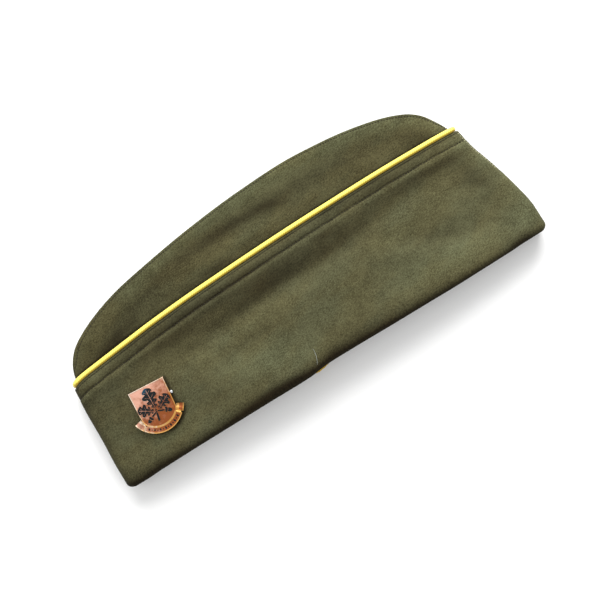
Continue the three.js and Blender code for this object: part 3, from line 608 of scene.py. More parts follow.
def badge_shadow_ring(x, y):
    """Painted shadow on the ring of cloth just outside the badge, darkest below it."""
    turn = math.radians(BADGE_TURN)
    dx, dy = x - BADGE_ALONG - RING_RIGHT, y - BADGE_UP + RING_DOWN
    across = dx * math.cos(turn) + dy * math.sin(turn)
    up = dy * math.cos(turn) - dx * math.sin(turn)
    beside_shield = np.abs(across) - SHIELD_WIDTH / 2 - RING_FLARE * smooth((-2.0 - up) / 7.0)
    beyond_scroll = np.where(up < 0, np.hypot(across, up) - SCROLL_RADIUS, -9.0)
    outside = np.maximum(np.maximum(beside_shield, up - SHIELD_TOP), beyond_scroll)
    return (RING_DARK + RING_BELOW * smooth((-8.0 - up) / 6.0)) * smooth((1.4 - outside) / 1.8)


def light_shade_and_wear_tone(x, y, depth):
    """Painted light and shade of the cloth, with some wear, from -1 for the most lit to 1 for the darkest."""
    lip = LIP_DARK * np.exp(-((np.maximum(y, 0.0) / LIP_FADE) ** LIP_POWER))
    rim = RIM_DARK * np.exp(-np.maximum(x - front_edge(y), 0.0) / RIM_FADE)
    inside = INSIDE_DARK * smooth(depth / INSIDE_DEPTH)
    back = BACK_LIGHT * bell(np.maximum(back_edge(y) - x, 0.0), 0.0, BACK_FADE)
    return np.clip(soft_ovals(LIGHT_AND_SHADE_MARKS, x, y) + lip + rim + inside - back, -1.0, 1.0)


# %% [markdown]
# ## The curtain
# The curtain is the band that is turned up round the cap. Its cloth is doubled in at the lower edge
# and its top edge nestles under the cord, where two rows of stitching pull it down. The section is
# one closed loop: up over the top edge, down the outer face, round the lip, up the hem and back
# inside. The rows of the grid stand close by the cord, where two short tables give the sewn band's
# section: a groove at each row of stitches, and a ridge of small puffs below the second one. A table
# of its own lets the slack lower edge stray from a straight line.

# %% Curtain
CURTAIN_CLOTH = 2.0
LIP_INNER = 1.5
HEM_REACH = 12.0
CURTAIN_TOP = 2.6
NEAR_ROW = 3.0
FAR_ROW = 8.7
STITCH_PITCH = 1.7
# Rise of the sewn band at some distances below the cord, in mm
BAND_BELOW = [0.0, 2.6, 4.6, 7.6, 8.5, 9.8, 10.7, 12.8, 18.0]
BAND_RISE = [0.0, 0.0, 0.16, -0.25, -0.70, 0.42, 0.40, 0.05, 0.0]
# Stray of the lower edge along the cap, in mm
WAVE_ALONG = [0, 12, 24, 50, 95, 116, 124, 130, 138, 150, 180, 205, 220, 256, 265, 283]
WAVE_RISE = [
    -1.0, -1.0, -0.6, -0.35, -0.4, -0.65, -0.45, 0.25,
    0.75, 0.65, 0.05, -0.35, -0.65, -0.65, -0.4, -0.5,
]
WAVE_REACH = 16.0
# Puffs of cloth along the far row
PUFF_PITCH = 2.3
# Painted shade by the sewn rows, and painted light on the ridge where the amount is below 0: distance below
# the cord, width, amount
ROW_SHADES = [(NEAR_ROW, 0.5, 0.36), (FAR_ROW + 1.5, 0.9, -0.22)]
FINE_ROWS = 54
FINE_SHARE = 0.22
COARSE_ROWS = 42
CURTAIN_INSIDE_ROWS = 26
CURTAIN_LEFT, CURTAIN_RIGHT = 370, 110


def cord_slope(place):
    """How much longer than level the cord's course is at a place."""
    before, after = cord_point(1, np.maximum(place - 0.01, 0)), cord_point(1, np.minimum(place + 0.01, 1))
    run = np.linalg.norm(after - before, axis=-1)
    return run / np.sqrt(np.maximum(run ** 2 - (after[..., 1] - before[..., 1]) ** 2, 1e-9))


def curtain_top(place):
    return cord_height(place) - CURTAIN_TOP * cord_slope(place)


def wander(x, y, size, seed):
    """Slow uneven waves of about 1, from a few sines that don't repeat."""
    a = np.sin(x / size * 2.1 + seed) + np.sin((x * 0.8 + y * 1.3) / size * 1.7 + seed * 2.3)
    b = np.sin((x * 0.5 - y * 1.9) / size * 1.3 + seed * 0.7) + np.sin(y / size * 2.9 + seed * 3.1)
    return (a + b) / 2.0


def puffs(x):
    """A wave along the sewn band that is never quite even."""
    return np.sin(2 * math.pi * x / PUFF_PITCH + 1.3 * np.sin(x / 5.3))


def sewn_relief(x, from_cord):
    """Rise of the curtain's cloth beside its two stitch rows, in mm."""
    stitch = 0.5 + 0.5 * np.cos(2 * math.pi * x / STITCH_PITCH)
    wobble = 0.14 * np.sin(x / 1.7) + 0.12 * np.sin(x / 4.3 + 1)
    relief = read_curve(BAND_BELOW, BAND_RISE, from_cord + wobble)
    relief = np.where(relief > 0.1, 0.1 + (relief - 0.1) * (0.62 + 0.38 * puffs(x)), relief)
    return relief - 0.40 * (0.6 + 0.4 * stitch) * bell(from_cord, NEAR_ROW, 0.5)


def sewn_shade(x, below):
    """Painted shade in the two sewn rows, between them and below the ridge, and painted light on the ridge.
    """
    shade = (0.315 + 0.105 * puffs(x)) * bell(below, FAR_ROW - 0.1, 0.65)
    shade = shade + 0.14 * smooth((below - 5.0) / 2.6) * smooth((FAR_ROW - below) / 0.6)
    shade = shade + 0.22 * smooth((below - 11.0) / 2.0) * smooth((19.0 - below) / 5.0)
    return shade + sum(amount * bell(below, middle, width) for middle, width, amount in ROW_SHADES)


def edge_wave(x, y):
    """How far the slack lower edge strays from a straight line; it dies out higher up."""
    return read_curve(WAVE_ALONG, WAVE_RISE, x) * smooth(1 - y / WAVE_REACH)


def section_of_curtain():
    """Rows round the band: rise as a share of the outer leaf, base above the edge, and depth."""
    rows = []
    for k in range(9):
        angle = math.pi * (1 - k / 8)
        rows.append((1.0, math.sin(angle), 1 - math.cos(angle)))
    for k in range(1, FINE_ROWS + 1):
        rows.append((1 - FINE_SHARE * k / FINE_ROWS, 0.0, 0.0))
    for k in range(1, COARSE_ROWS + 1):
        rows.append(((1 - FINE_SHARE) * (1 - k / COARSE_ROWS), 0.0, 0.0))
    for k in range(1, 15):
        angle = math.pi * k / 14
        rows.append((0.0, -LIP_OUTER * math.sin(angle), LIP_OUTER - LIP_OUTER * math.cos(angle)))
    for k in range(1, 9):
        rows.append((0.0, HEM_REACH * k / 8, 2 * LIP_OUTER))
    for k in range(1, 6):
        angle = math.pi * k / 6
        rows.append((0.0, HEM_REACH + math.sin(angle), 2 * LIP_OUTER - 1 + math.cos(angle)))
    for k in range(8, -1, -1):
        rows.append((0.0, HEM_REACH * k / 8, 2 * LIP_OUTER - CURTAIN_CLOTH))
    for k in range(7, 0, -1):
        angle = math.pi * k / 8
        rows.append((0.0, -LIP_INNER * math.sin(angle), LIP_OUTER - LIP_INNER * math.cos(angle)))
    for k in range(CURTAIN_INSIDE_ROWS + 1):
        rows.append((k / CURTAIN_INSIDE_ROWS, 0.0, CURTAIN_CLOTH))
    return np.array(rows)


CURTAIN_SECTION = section_of_curtain()
curtain_side, curtain_place = round_the_cap(CURTAIN_LEFT, CURTAIN_RIGHT)


def curtain_cloth(column, row):
    side, place = curtain_side[column], curtain_place[column]
    rise, base, depth = CURTAIN_SECTION[row].T
    leaf = curtain_top(place) - LIP_OUTER
    y = LIP_OUTER + rise * leaf + base
    flat_x = curtain_point(1, place, y, depth)[:, 0]
    outer = np.where((depth < 0.01) & (rise < 1), 1.0, 0.0)
    below = cord_height(place) - y
    shown = outer * smooth(np.minimum(place, 1 - place) / ARC_SHARE)
    ripple = 0.10 * wander(flat_x, y, 9.0, 1.0) + 0.05 * wander(flat_x, y, 3.7, 5.0)
    relief = sewn_relief(flat_x, below) * shown
    relief = np.where(side > 0, relief + ripple * shown, np.minimum(relief, 0.0))
    upper = curtain_point(1, place, y, depth - relief)
    lower = curtain_point(-1, place, y, depth - relief)
    points = np.where(side[:, None] > 0, upper, lower)
    points[:, 1] += edge_wave(flat_x, y)
    back_x = curtain_point(1, np.ones(len(y)), y, depth)[:, 0]
    hem_apart = np.where(depth > 5, 40.0, 0.0)
    cloth_uv = np.stack([cloth_length(side, place, flat_x, back_x), y + depth * 3 + hem_apart], axis=-1)
    # Painted light and shade with some wear, painted shade by the sewn rows and a painted shadow round the
    # badge
    tone = light_shade_and_wear_tone(flat_x, y, depth) + (sewn_shade(flat_x, below) + badge_shadow_ring(flat_x, y)) * outer
    return points, cloth_uv, np.clip(tone, -1.0, 1.0)


curtain_mesh = grid_mesh("wool_curtain", len(curtain_place) - 1, len(CURTAIN_SECTION) - 1, curtain_cloth)
curtain = add_piece("wool_curtain", curtain_mesh, CURTAIN_WOOL)
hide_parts("curtain_left", "curtain_right")

# %% [markdown]
# ## The crown
# The two side panels of the crown rise from inside the hem to the arched outline. They are made as
# one closed wall too. Behind the curtain they are slack, and above it they show with one row of
# stitches just inside their rounded edge.

# %% Crown panels
CROWN_CLOTH = 1.5
CROWN_DEPTH = 2.3
CROWN_DEPTH_IN_HEM = 2.75
CROWN_SLACK = 1.4
CROWN_TUCK = 5.0
EDGE_ROW = 1.35
CROWN_ROWS = 46
CROWN_HIDDEN_ROWS = 22
CROWN_INSIDE_ROWS = 40
CROWN_LEFT, CROWN_RIGHT = 250, 110
CROWN_SEAM = 0.93
# Shade above the cord, amount and reach; light by the outline, at the front and more behind
CORD_SHADES = [(0.7, 1.1), (0.25, 5.0)]
EDGE_LIGHT, EDGE_LIGHT_BEHIND = 0.10, 0.76


def solid_curtain_top(place):
    """Top edge of the frame's own curtain, which the crown's rows are drawn from."""
    return cord_height(place) - 2.0 * cord_slope(place)


def crown_top(place):
    """x and y of the crown's outline."""
    along, up = (read_curve(CROWN_PLACE, table, place) for table in (CROWN_ALONG, CROWN_UP))
    return CAP_LENGTH * along, CROWN_HEIGHT * up


def crown_slope(place):
    """How much longer than level the crown's outline is at a place."""
    before, after = crown_top(np.maximum(place - 0.004, 0)), crown_top(np.minimum(place + 0.004, 1))
    run, climb = after[0] - before[0], after[1] - before[1]
    return np.hypot(run, climb) / np.maximum(run, 1e-6)


def crown_depth(place, y):
    rise = np.clip((y - LIP_OUTER) / (solid_curtain_top(place) - LIP_OUTER), 0.0, 1.0)
    seat = CROWN_DEPTH_IN_HEM + (CROWN_DEPTH - CROWN_DEPTH_IN_HEM) * smooth(rise / 0.8)
    slack = CROWN_SLACK * np.sin(math.pi * np.minimum(rise / 0.9, 1)) ** 2
    return seat + slack + tuck(place) * smooth((rise - 0.75) / 0.25)


def crown_along(place, y, wall):
    """x of the crown at a height, and how far it has opened; wall is how far in from its outer face."""
    top_x, top_y = crown_top(place)
    behind = np.minimum(y, solid_curtain_top(place))
    depth = crown_depth(place, behind) + wall
    low_x, opened = cap_layer(place, behind, depth)
    inward = np.where(place < 0.5, wall, -wall) * (1 - opened)
    share = np.maximum(y - behind, 0) / np.maximum(top_y - behind, 1e-6)
    return np.where(share > 0, low_x + (top_x + inward - low_x) * share, low_x), opened


def section_of_crown():
    """Rows round the panel: rise is 0 at the lip, 1 at the curtain's top and 2 at the outline."""
    rows = []
    low = (CROWN_TUCK - LIP_OUTER) / CORD_HEIGHT
    half = CROWN_CLOTH / 2
    for k in range(CROWN_HIDDEN_ROWS):
        rows.append((low + (CROWN_SEAM - low) * k / CROWN_HIDDEN_ROWS, 0.0, 0.0))
    for k in range(CROWN_ROWS + 1):
        rows.append((CROWN_SEAM + (2.0 - CROWN_SEAM) * k / CROWN_ROWS, -half * k / CROWN_ROWS, 0.0))
    for k in range(1, 8):
        angle = math.pi * k / 8
        rows.append((2.0, half * math.sin(angle) - half, half - half * math.cos(angle)))
    for k in range(CROWN_INSIDE_ROWS + 1):
        share = k / CROWN_INSIDE_ROWS
        rows.append((2.0 - (2.0 - low) * share, -half * (1 - share), CROWN_CLOTH))
    rows.append((low, 0.0, 0.0))
    return np.array(rows)


CROWN_SECTION = section_of_crown()
crown_side, crown_place = round_the_cap(CROWN_LEFT, CROWN_RIGHT)


def crown_cloth(column, row):
    side, place = crown_side[column], crown_place[column]
    rise, nudge, wall = CROWN_SECTION[row].T
    top = solid_curtain_top(place)
    outline_x, outline_y = crown_top(place)
    y = np.where(rise <= 1, LIP_OUTER + (top - LIP_OUTER) * rise, top + (outline_y - top) * (rise - 1))
    y = y + nudge
    x, opened = crown_along(place, y, wall)
    seen = smooth((rise - 1.0) / 0.15) * np.where(wall < 0.01, 1.0, 0.0)
    from_edge = (outline_y - y) / crown_slope(place)
    relief = 0.14 * bell(from_edge, EDGE_ROW + 1.8, 1.4) - 0.22 * bell(from_edge, EDGE_ROW, 0.45)
    ripple = 0.12 * wander(x, y, 8.0, 2.0) + 0.05 * wander(x, y, 3.1, 7.0)
    relief = (relief + ripple * smooth(from_edge / 4)) * seen * opened * np.where(side > 0, 1.0, 0.0)
    depth = crown_depth(place, y) + wall - relief
    upper = layer_height(1, x, y, depth, opened)
    lower = layer_height(-1, x, y, depth, opened)
    points = np.stack([x, y, np.where(side > 0, upper, lower)], axis=-1)
    back_x, _ = crown_along(np.ones(len(y)), y, wall)
    cloth_uv = np.stack([cloth_length(side, place, x, back_x), y + 200 + wall * 4], axis=-1)
    above_cord = np.maximum(y - cord_height(place) - CORD_RADIUS, 0.0)
    shade = sum(amount * bell(above_cord, 0.0, reach) for amount, reach in CORD_SHADES)
    light = EDGE_LIGHT + EDGE_LIGHT_BEHIND * smooth((x - 20.0) / 130.0)
    shade = shade - light * bell(from_edge, 2.0, 5.5)
    return points, cloth_uv, np.clip(light_shade_and_wear_tone(x, y, wall * 2) + shade, -1.0, 1.0)


crown_mesh = grid_mesh("wool_crown", len(crown_place) - 1, len(CROWN_SECTION) - 1, crown_cloth)
crown = add_piece("wool_crown", crown_mesh, CROWN_WOOL)
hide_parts("crown_left", "crown_right")

# %% [markdown]
# ## The gusset
# Between the panels a long strip is folded down as a pleat, so that the crown can open. It follows
# the outline, deepest in the middle of the cap and flat towards both ends.

# %% Gusset
GUSSET_CLOTH = 1.5
GUSSET_FOLD = 28.0
GUSSET_BEND = 1.2
GUSSET_DROP = 0.6
GUSSET_END = 0.04
GUSSET_FULLNESS = 0.7
GUSSET_DEPTH = 4.1
GUSSET_COLUMNS, GUSSET_LEAF_ROWS = 180, 14


def gusset_face(wall, radius, leaf_rows):
    """Rows of one face of the pleat: down, wall, side, bent, angle, radius."""
    rows = [(k / leaf_rows, wall, 1.0, 0.0, 0.0, radius) for k in range(leaf_rows + 1)]
    rows += [(1.0, wall, 0.0, 1.0, math.pi * k / 8, radius) for k in range(1, 8)]
    rows += [(1 - k / leaf_rows, wall, -1.0, 0.0, 0.0, radius) for k in range(leaf_rows + 1)]
    return rows


outer_face = gusset_face(0.0, GUSSET_BEND + GUSSET_CLOTH / 2, GUSSET_LEAF_ROWS)
inner_face = gusset_face(GUSSET_CLOTH, GUSSET_BEND - GUSSET_CLOTH / 2, GUSSET_LEAF_ROWS)
GUSSET_SECTION = np.array(outer_face + inner_face[::-1] + outer_face[:1])


def gusset_cloth(column, row):
    place = ARC_SHARE + (1 - 2 * ARC_SHARE) * column / GUSSET_COLUMNS
    down, wall, side, bent, angle, radius = GUSSET_SECTION[row].T
    top = crown_top(place)[1] - GUSSET_DROP
    taper = np.sin(math.pi * (GUSSET_END + (1 - 2 * GUSSET_END) * place))
    y = top - GUSSET_FOLD * np.power(taper, GUSSET_FULLNESS) * down - bent * radius * np.sin(angle)
    x, opened = crown_along(place, y, CROWN_CLOTH)
    leaf_half = half_thickness(y) - GUSSET_DEPTH - wall
    half = np.where(bent > 0, radius * np.cos(angle), side * (leaf_half + (radius - leaf_half) * down))
    follow = 0.5 + 0.5 * np.clip(half / leaf_half, -1, 1)
    z = seam_height(y) + half * opened + upper_shape(x, y) * follow
    cloth_uv = np.stack([x, 400 + side * (30 - 28 * down) + wall], axis=-1)
    # Painted shade: the tone grows darker further down into the pleat
    return np.stack([x, y, z], axis=-1), cloth_uv, np.clip(0.15 + 0.5 * down, 0, 1)


def close_ends(shape):
    bmesh.ops.holes_fill(shape, edges=[edge for edge in shape.edges if edge.is_boundary], sides=0)


gusset_mesh = grid_mesh("wool_gusset", GUSSET_COLUMNS, len(GUSSET_SECTION) - 1, gusset_cloth)
rework(gusset_mesh, close_ends)
gusset = add_piece("wool_gusset", gusset_mesh, CROWN_WOOL)
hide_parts("crown_gusset")

# %% [markdown]
# ## The yellow cord
# A bright cord is sewn along the curtain's top edge. Its cover is wound in fine slanting ribs, with
# painted shade in the hollows between them and on the side that faces the cap's lower edge. The cord
# is one closed loop round the cap, stepped evenly by length so that its ribs are all alike.

# %% Cord
RIB_PITCH = 1.25
RIB_TURNS = 3
RIB_HIGH = 0.10
CORD_SIDES = 20
STEPS_PER_RIB = 5
COURSE_STEPS = 1500
CORD_LIGHT = (0.81, 0.72, 0.130, 1.0)
CORD_IN_SHADE = (0.47, 0.31, 0.012, 1.0)


def cord_course():
    """Even steps round the loop: centres in mm, and the length of the loop."""
    side, place = round_the_cap(COURSE_STEPS, COURSE_STEPS)
    dense = np.where(side[:, None] > 0, cord_point(1, place), cord_point(-1, place))
    length = np.concatenate([[0], np.cumsum(np.linalg.norm(np.diff(dense, axis=0), axis=1))])
    ribs = round(length[-1] / RIB_PITCH)
    even = np.linspace(0, length[-1], ribs * STEPS_PER_RIB + 1)
    return np.stack([np.interp(even, length, dense[:, k]) for k in range(3)], axis=-1), length[-1]


cord_centres, cord_length = cord_course()
cord_ahead = np.roll(cord_centres[:-1], -3, axis=0) - np.roll(cord_centres[:-1], 3, axis=0)
cord_ahead = np.concatenate([cord_ahead, cord_ahead[:1]])
cord_ahead /= np.linalg.norm(cord_ahead, axis=1)[:, None]
cord_up = np.array([0.0, 1.0, 0.0]) - cord_ahead[:, 1:2] * cord_ahead
cord_up /= np.linalg.norm(cord_up, axis=1)[:, None]
cord_across = np.cross(cord_ahead, cord_up)


def cord_cover(column, row):
    angle = 2 * math.pi * row / CORD_SIDES
    wave = np.sin(2 * math.pi * column / STEPS_PER_RIB + RIB_TURNS * angle)
    radius = CORD_RADIUS - RIB_HIGH * (0.5 - 0.5 * wave)
    around = cord_up[column] * np.cos(angle)[:, None] + cord_across[column] * np.sin(angle)[:, None]
    step = cord_length / (len(cord_centres) - 1)
    cloth_uv = np.stack([column * step, angle * CORD_RADIUS], axis=-1)
    # Painted shade on the side that faces the cap's lower edge and in the hollows between the ribs
    shaded_underside = smooth((-np.cos(angle) - 0.15) / 0.7)
    cord_painted_shade = np.clip(0.9 * shaded_underside + (0.50 + 0.45 * shaded_underside) * (0.5 - 0.5 * wave), 0, 1)
    return cord_centres[column] + around * radius[:, None], cloth_uv, cord_painted_shade


def painted_shade_material(name, light, dark, **values):
    """Dyed thread whose colour goes from light to dark with the tone of its points, which carries painted
    shade.
    """
    material, tree, shader = new_material(name, **values)
    tone = add_node(tree, "ShaderNodeAttribute", {"attribute_name": "tone"})
    color = mix_colors(tree, fit(tree, tone.outputs["Fac"], 0.0, 1.0), light, dark)
    tree.links.new(color, shader.inputs["Base Color"])
    return material


cord_finish = {"Roughness": 0.55, "Specular_IOR_Level": 0.4, "Sheen_Weight": 0.25, "Sheen_Roughness": 0.4}
cord_material = painted_shade_material("cord_yellow", CORD_LIGHT, CORD_IN_SHADE, **cord_finish)
cord_mesh = grid_mesh("yellow_cord", len(cord_centres) - 1, CORD_SIDES, cord_cover)
cord = add_piece("yellow_cord", cord_mesh, cord_material)
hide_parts("piping_left", "piping_right")
print("cord loop in mm:", round(cord_length, 1))

# %% [markdown]
# ## Rows of stitching
# The seams are topstitched by machine. Each stitch is a short thread that dips into the cloth at both
# ends, so a stretched low sphere is enough. The dark rows are one mesh and the light rows at the back
# edge another. The dark stitches lie in the grooves that the cloth already has.

# %% Stitches
THREAD_RADIUS = 0.30
THREAD_LENGTH = 1.10
STITCHES_AT_ONCE = 30
BACK_ROW = 1.9
BACK_ROW_FROM = 44.0


def stitch_row(path):
    """One stitch each pitch along path, an array of points in mm: their centres and directions."""
    length = np.concatenate([[0], np.cumsum(np.linalg.norm(np.diff(path, axis=0), axis=1))])
    count = int(length[-1] / STITCH_PITCH)
    at = (np.arange(count) + 0.5) * length[-1] / count
    centre = np.stack([np.interp(at, length, path[:, k]) for k in range(3)], axis=-1)
    after = np.stack([np.interp(at + 0.4, length, path[:, k]) for k in range(3)], axis=-1)
    return centre, after - centre


def sew(name, rows, material):
    """One mesh with every stitch of the given rows, each row a pair of arrays."""
    centres = row_frame(np.concatenate([row[0] for row in rows]))
    aheads = np.concatenate([row[1] for row in rows])
    size = Matrix.Diagonal((THREAD_RADIUS / 1000, THREAD_RADIUS / 1000, THREAD_LENGTH / 2000, 1.0))
    thread = bmesh.new()
    for start in range(0, len(centres), STITCHES_AT_ONCE):
        few = bmesh.new()
        bunch = slice(start, start + STITCHES_AT_ONCE)
        for centre, ahead in zip(centres[bunch], aheads[bunch]):
            turn = Vector(ahead).to_track_quat("Z", "Y").to_matrix().to_4x4()
            place = Matrix.Translation(centre) @ turn @ size
            bmesh.ops.create_uvsphere(few, u_segments=6, v_segments=4, radius=1.0, matrix=place)
        part = mesh_of("few_stitches", few)
        thread.from_mesh(part)
        bpy.data.meshes.remove(part)
    mesh = mesh_of(name, thread)
    mesh.polygons.foreach_set("use_smooth", np.ones(len(mesh.polygons), bool))
    return add_piece(name, mesh, material)


def thread_material(name, color):
    return new_material(name, Base_Color=color, Roughness=0.7, Specular_IOR_Level=0.25)[0]


# Painted shade: the sunk stitches are near black, for the shade in their needle dimples
DIMPLE_SHADE_THREAD = thread_material("thread_dimple_shade", (0.018, 0.015, 0.008, 1.0))
LIGHT_THREAD = thread_material("thread_light", (0.34, 0.33, 0.20, 1.0))


def curtain_row(side, below_cord, sunk):
    place = np.linspace(0.06, 0.95, 900)
    y = cord_height(place) - below_cord
    return curtain_point(side, place, y, sunk)


def crown_edge_row(side):
    place = np.linspace(0.03, 0.97, 900)
    y = crown_top(place)[1] - EDGE_ROW * crown_slope(place)
    keep = y > cord_height(place) + CORD_RADIUS
    place, y = place[keep], y[keep]
    x, opened = crown_along(place, y, 0.0)
    return np.stack([x, y, layer_height(side, x, y, crown_depth(place, y) + 0.12, opened)], axis=-1)


def back_edge_row(side):
    y = np.linspace(BACK_ROW_FROM, cord_height(0.97) - NEAR_ROW, 400)
    opened = math.sqrt(1 - (1 - BACK_ROW / BACK_ROUND) ** 2)
    x = back_edge(y) - BACK_ROW
    return np.stack([x, y, layer_height(side, x, y, -0.12, opened)], axis=-1)


seam_rows = [
    stitch_row(curtain_row(side, below, sunk))
    for side in (1, -1)
    for below, sunk in ((NEAR_ROW, 0.22), (FAR_ROW - 0.1, 0.50))
]
seam_rows += [stitch_row(crown_edge_row(side)) for side in (1, -1)]
stitches = sew("seam_stitches", seam_rows, DIMPLE_SHADE_THREAD)
back_stitches = sew("back_edge_stitches", [stitch_row(back_edge_row(side)) for side in (1, -1)], LIGHT_THREAD)
print("stitches:", sum(len(row[0]) for row in seam_rows))

# %% [markdown]
# ## The badge's place
# The badge is modelled in its own flat frame, with X along its top edge, Y up the shield and Z away
# from the cloth, in millimetres. One matrix stands it on the cloth, square to the surface there.

# %% Badge frame
SHIELD_BOTTOM = 12.4
PLATE_BOTTOM = 1.6
PLATE_TOP = 2.6


def badge_matrix():
    """From the badge's own millimetres to the frame's metres."""

    def skin(x, y):
        return Vector(row_frame([x, y, float(layer_height(1, x, y, 0.0, 1.0))]))

    reach = SHIELD_WIDTH / 2
    ahead = skin(BADGE_ALONG + reach, BADGE_UP) - skin(BADGE_ALONG - reach, BADGE_UP)
    upward = skin(BADGE_ALONG, BADGE_UP + reach) - skin(BADGE_ALONG, BADGE_UP - reach)
    normal = ahead.cross(upward).normalized()
    right = Matrix.Rotation(math.radians(BADGE_TURN), 3, normal) @ ahead.normalized()
    axes = Matrix((right, normal.cross(right), normal)).transposed().to_4x4()
    return Matrix.Translation(skin(BADGE_ALONG, BADGE_UP)) @ axes @ Matrix.Scale(0.001, 4)


BADGE_MATRIX = badge_matrix()


def badge_piece(name, build, *materials, smooth_angle=35.0, reflection_at=0.66):
    """Builds one piece in the badge's frame with bmesh, then stands it in its place."""
    shape = bmesh.new()
    build(shape)
    bmesh.ops.recalc_face_normals(shape, faces=shape.faces)
    # Painted reflection: a tone that rises from the badge's upper left to its lower right, which the metals
    # and the enamel read
    reflection_slope = shape.verts.layers.float.new("tone")
    for vert in shape.verts:
        vert[reflection_slope] = reflection_at + (0.50 * vert.co.x - 0.85 * vert.co.y) / SHIELD_WIDTH
    bmesh.ops.transform(shape, matrix=BADGE_MATRIX, verts=shape.verts)
    for face in shape.faces:
        face.smooth = True
    for edge in shape.edges:
        edge.smooth = len(edge.link_faces) == 2 and edge.calc_face_angle() < math.radians(smooth_angle)
    return add_piece(name, mesh_of(name, shape), *materials)


def faces_of(made):
    """The faces that a bmesh operator's new points belong to."""
    return list(dict.fromkeys(face for vert in made["verts"] for face in vert.link_faces))


def face_up(shape, faces):
    """Turns an open sheet of faces over if it faces down."""
    if sum(face.normal.z for face in faces) < 0:
        bmesh.ops.reverse_faces(shape, faces=faces)


def inset(shape, face, width, depth=0.0, material=None):
    """Insets a face evenly and gives the ring round it a material."""
    size = {"thickness": width, "depth": depth, "use_even_offset": True}
    for part in bmesh.ops.inset_region(shape, faces=[face], **size)["faces"]:
        part.material_index = part.material_index if material is None else material


def outline_face(shape, points, height):
    """A flat face from an outline of (x, y) points."""
    return shape.faces.new([shape.verts.new((x, y, height)) for x, y in points])


def raise_face(shape, face, height):
    """Extrudes a face by height and gives back its new top."""
    made = bmesh.ops.extrude_face_region(shape, geom=[face])["geom"]
    top = next(item for item in made if isinstance(item, bmesh.types.BMFace))
    bmesh.ops.translate(shape, vec=(0, 0, height), verts=top.verts)
    top.material_index = 0
    return top


print("badge stands at", [round(c * 1000, 1) for c in BADGE_MATRIX.translation])

# %% [markdown]
# ## Copper and enamel
# The badge is struck in copper with tarnished patches and a painted reflection: rosy towards its upper
# left corner, brown towards the lower right, and pale gold along its raised edges. The enamel is glassy
# black with a painted blue reflection towards the top. One group of tarnish and painted reflection serves
# all the metals with different colours.

# %% Badge materials
SPECK_COLOR = (0.10, 0.035, 0.015, 1.0)

tarnish_and_reflection_group, tarnish_and_reflection_in, tarnish_and_reflection_out = new_group(
    "tarnish_and_reflection",
    {"Bright": "Color", "Dull": "Color", "Size": "Float"},
    {"Color": "Color", "Mask": "Float", "Scratches": "Float"},
)
on_badge = add_node(tarnish_and_reflection_group, "ShaderNodeTexCoord").outputs["Object"]
reflection_slope = add_node(tarnish_and_reflection_group, "ShaderNodeAttribute", {"attribute_name": "tone"}).outputs["Fac"]


def badge_noise(vector, **look):
    return add_node(tarnish_and_reflection_group, "ShaderNodeTexNoise", Vector=vector, **look).outputs["Fac"]


blotches_and_reflection = badge_noise(on_badge, Scale=tarnish_and_reflection_in.outputs["Size"], Detail=4.0, Roughness=0.6)
# Painted reflection: the tone's slope across the badge is added to the tarnish blotches
blotches_and_reflection = maths(tarnish_and_reflection_group, "ADD", swing(tarnish_and_reflection_group, blotches_and_reflection, 1.6), reflection_slope)
tarnish_and_reflection_mask = fit(tarnish_and_reflection_group, blotches_and_reflection, 0.0, 1.0)
stretch = {"Rotation": (0.0, 0.0, 0.5), "Scale": (900.0, 6500.0, 900.0)}
streaks_at = add_node(tarnish_and_reflection_group, "ShaderNodeMapping", Vector=on_badge, **stretch)
streaks = badge_noise(streaks_at.outputs["Vector"], Scale=1.0, Detail=2.0)
specks = fit(tarnish_and_reflection_group, badge_noise(on_badge, Scale=1500.0, Detail=1.0), 0.66, 0.76, 0.0, 0.5)
metals = (tarnish_and_reflection_in.outputs["Bright"], tarnish_and_reflection_in.outputs["Dull"])
metal_color = mix_colors(tarnish_and_reflection_group, tarnish_and_reflection_mask, *metals)
metal_color = mix_colors(tarnish_and_reflection_group, specks, metal_color, SPECK_COLOR)
tarnish_and_reflection_group.links.new(metal_color, tarnish_and_reflection_out.inputs["Color"])
tarnish_and_reflection_group.links.new(tarnish_and_reflection_mask, tarnish_and_reflection_out.inputs["Mask"])
tarnish_and_reflection_group.links.new(streaks, tarnish_and_reflection_out.inputs["Scratches"])


def metal_material(name, bright, dull, size, smoothest, roughest, scratch):
    """A polished metal with tarnished patches, fine scratches and a painted reflection, bright at the badge's
    upper left and dull at its lower right.
    """
    material, tree, shader = new_material(name, Metallic=1.0)
    look = {"Bright": bright, "Dull": dull, "Size": size}
    tarnish_and_reflection = add_node(tree, "ShaderNodeGroup", {"node_tree": tarnish_and_reflection_group}, **look).outputs
    tree.links.new(tarnish_and_reflection["Color"], shader.inputs["Base Color"])
    tree.links.new(fit(tree, tarnish_and_reflection["Mask"], 0.0, 1.0, smoothest, roughest), shader.inputs["Roughness"])
    bump = add_node(tree, "ShaderNodeBump", Height=tarnish_and_reflection["Scratches"], Strength=scratch, Distance=0.00005)
    tree.links.new(bump.outputs["Normal"], shader.inputs["Normal"])
    return material


# name, bright, dull, size of the patches, least and most roughness, scratches
METALS = [
    ("badge_copper", (0.64, 0.35, 0.26, 1.0), (0.26, 0.078, 0.026, 1.0), 330.0, 0.36, 0.46, 0.5),
    ("badge_gold_edge", (0.78, 0.64, 0.52, 1.0), (0.54, 0.29, 0.080, 1.0), 520.0, 0.34, 0.44, 0.2),
    ("pin_nickel", (0.80, 0.86, 0.88, 1.0), (0.55, 0.58, 0.60, 1.0), 600.0, 0.24, 0.34, 0.3),
]
COPPER, GOLD_EDGE, NICKEL = (metal_material(*row) for row in METALS)
BLACK_ENAMEL, BLUE_REFLECTION = (0.0035, 0.0050, 0.0060, 1.0), (0.010, 0.060, 0.105, 1.0)

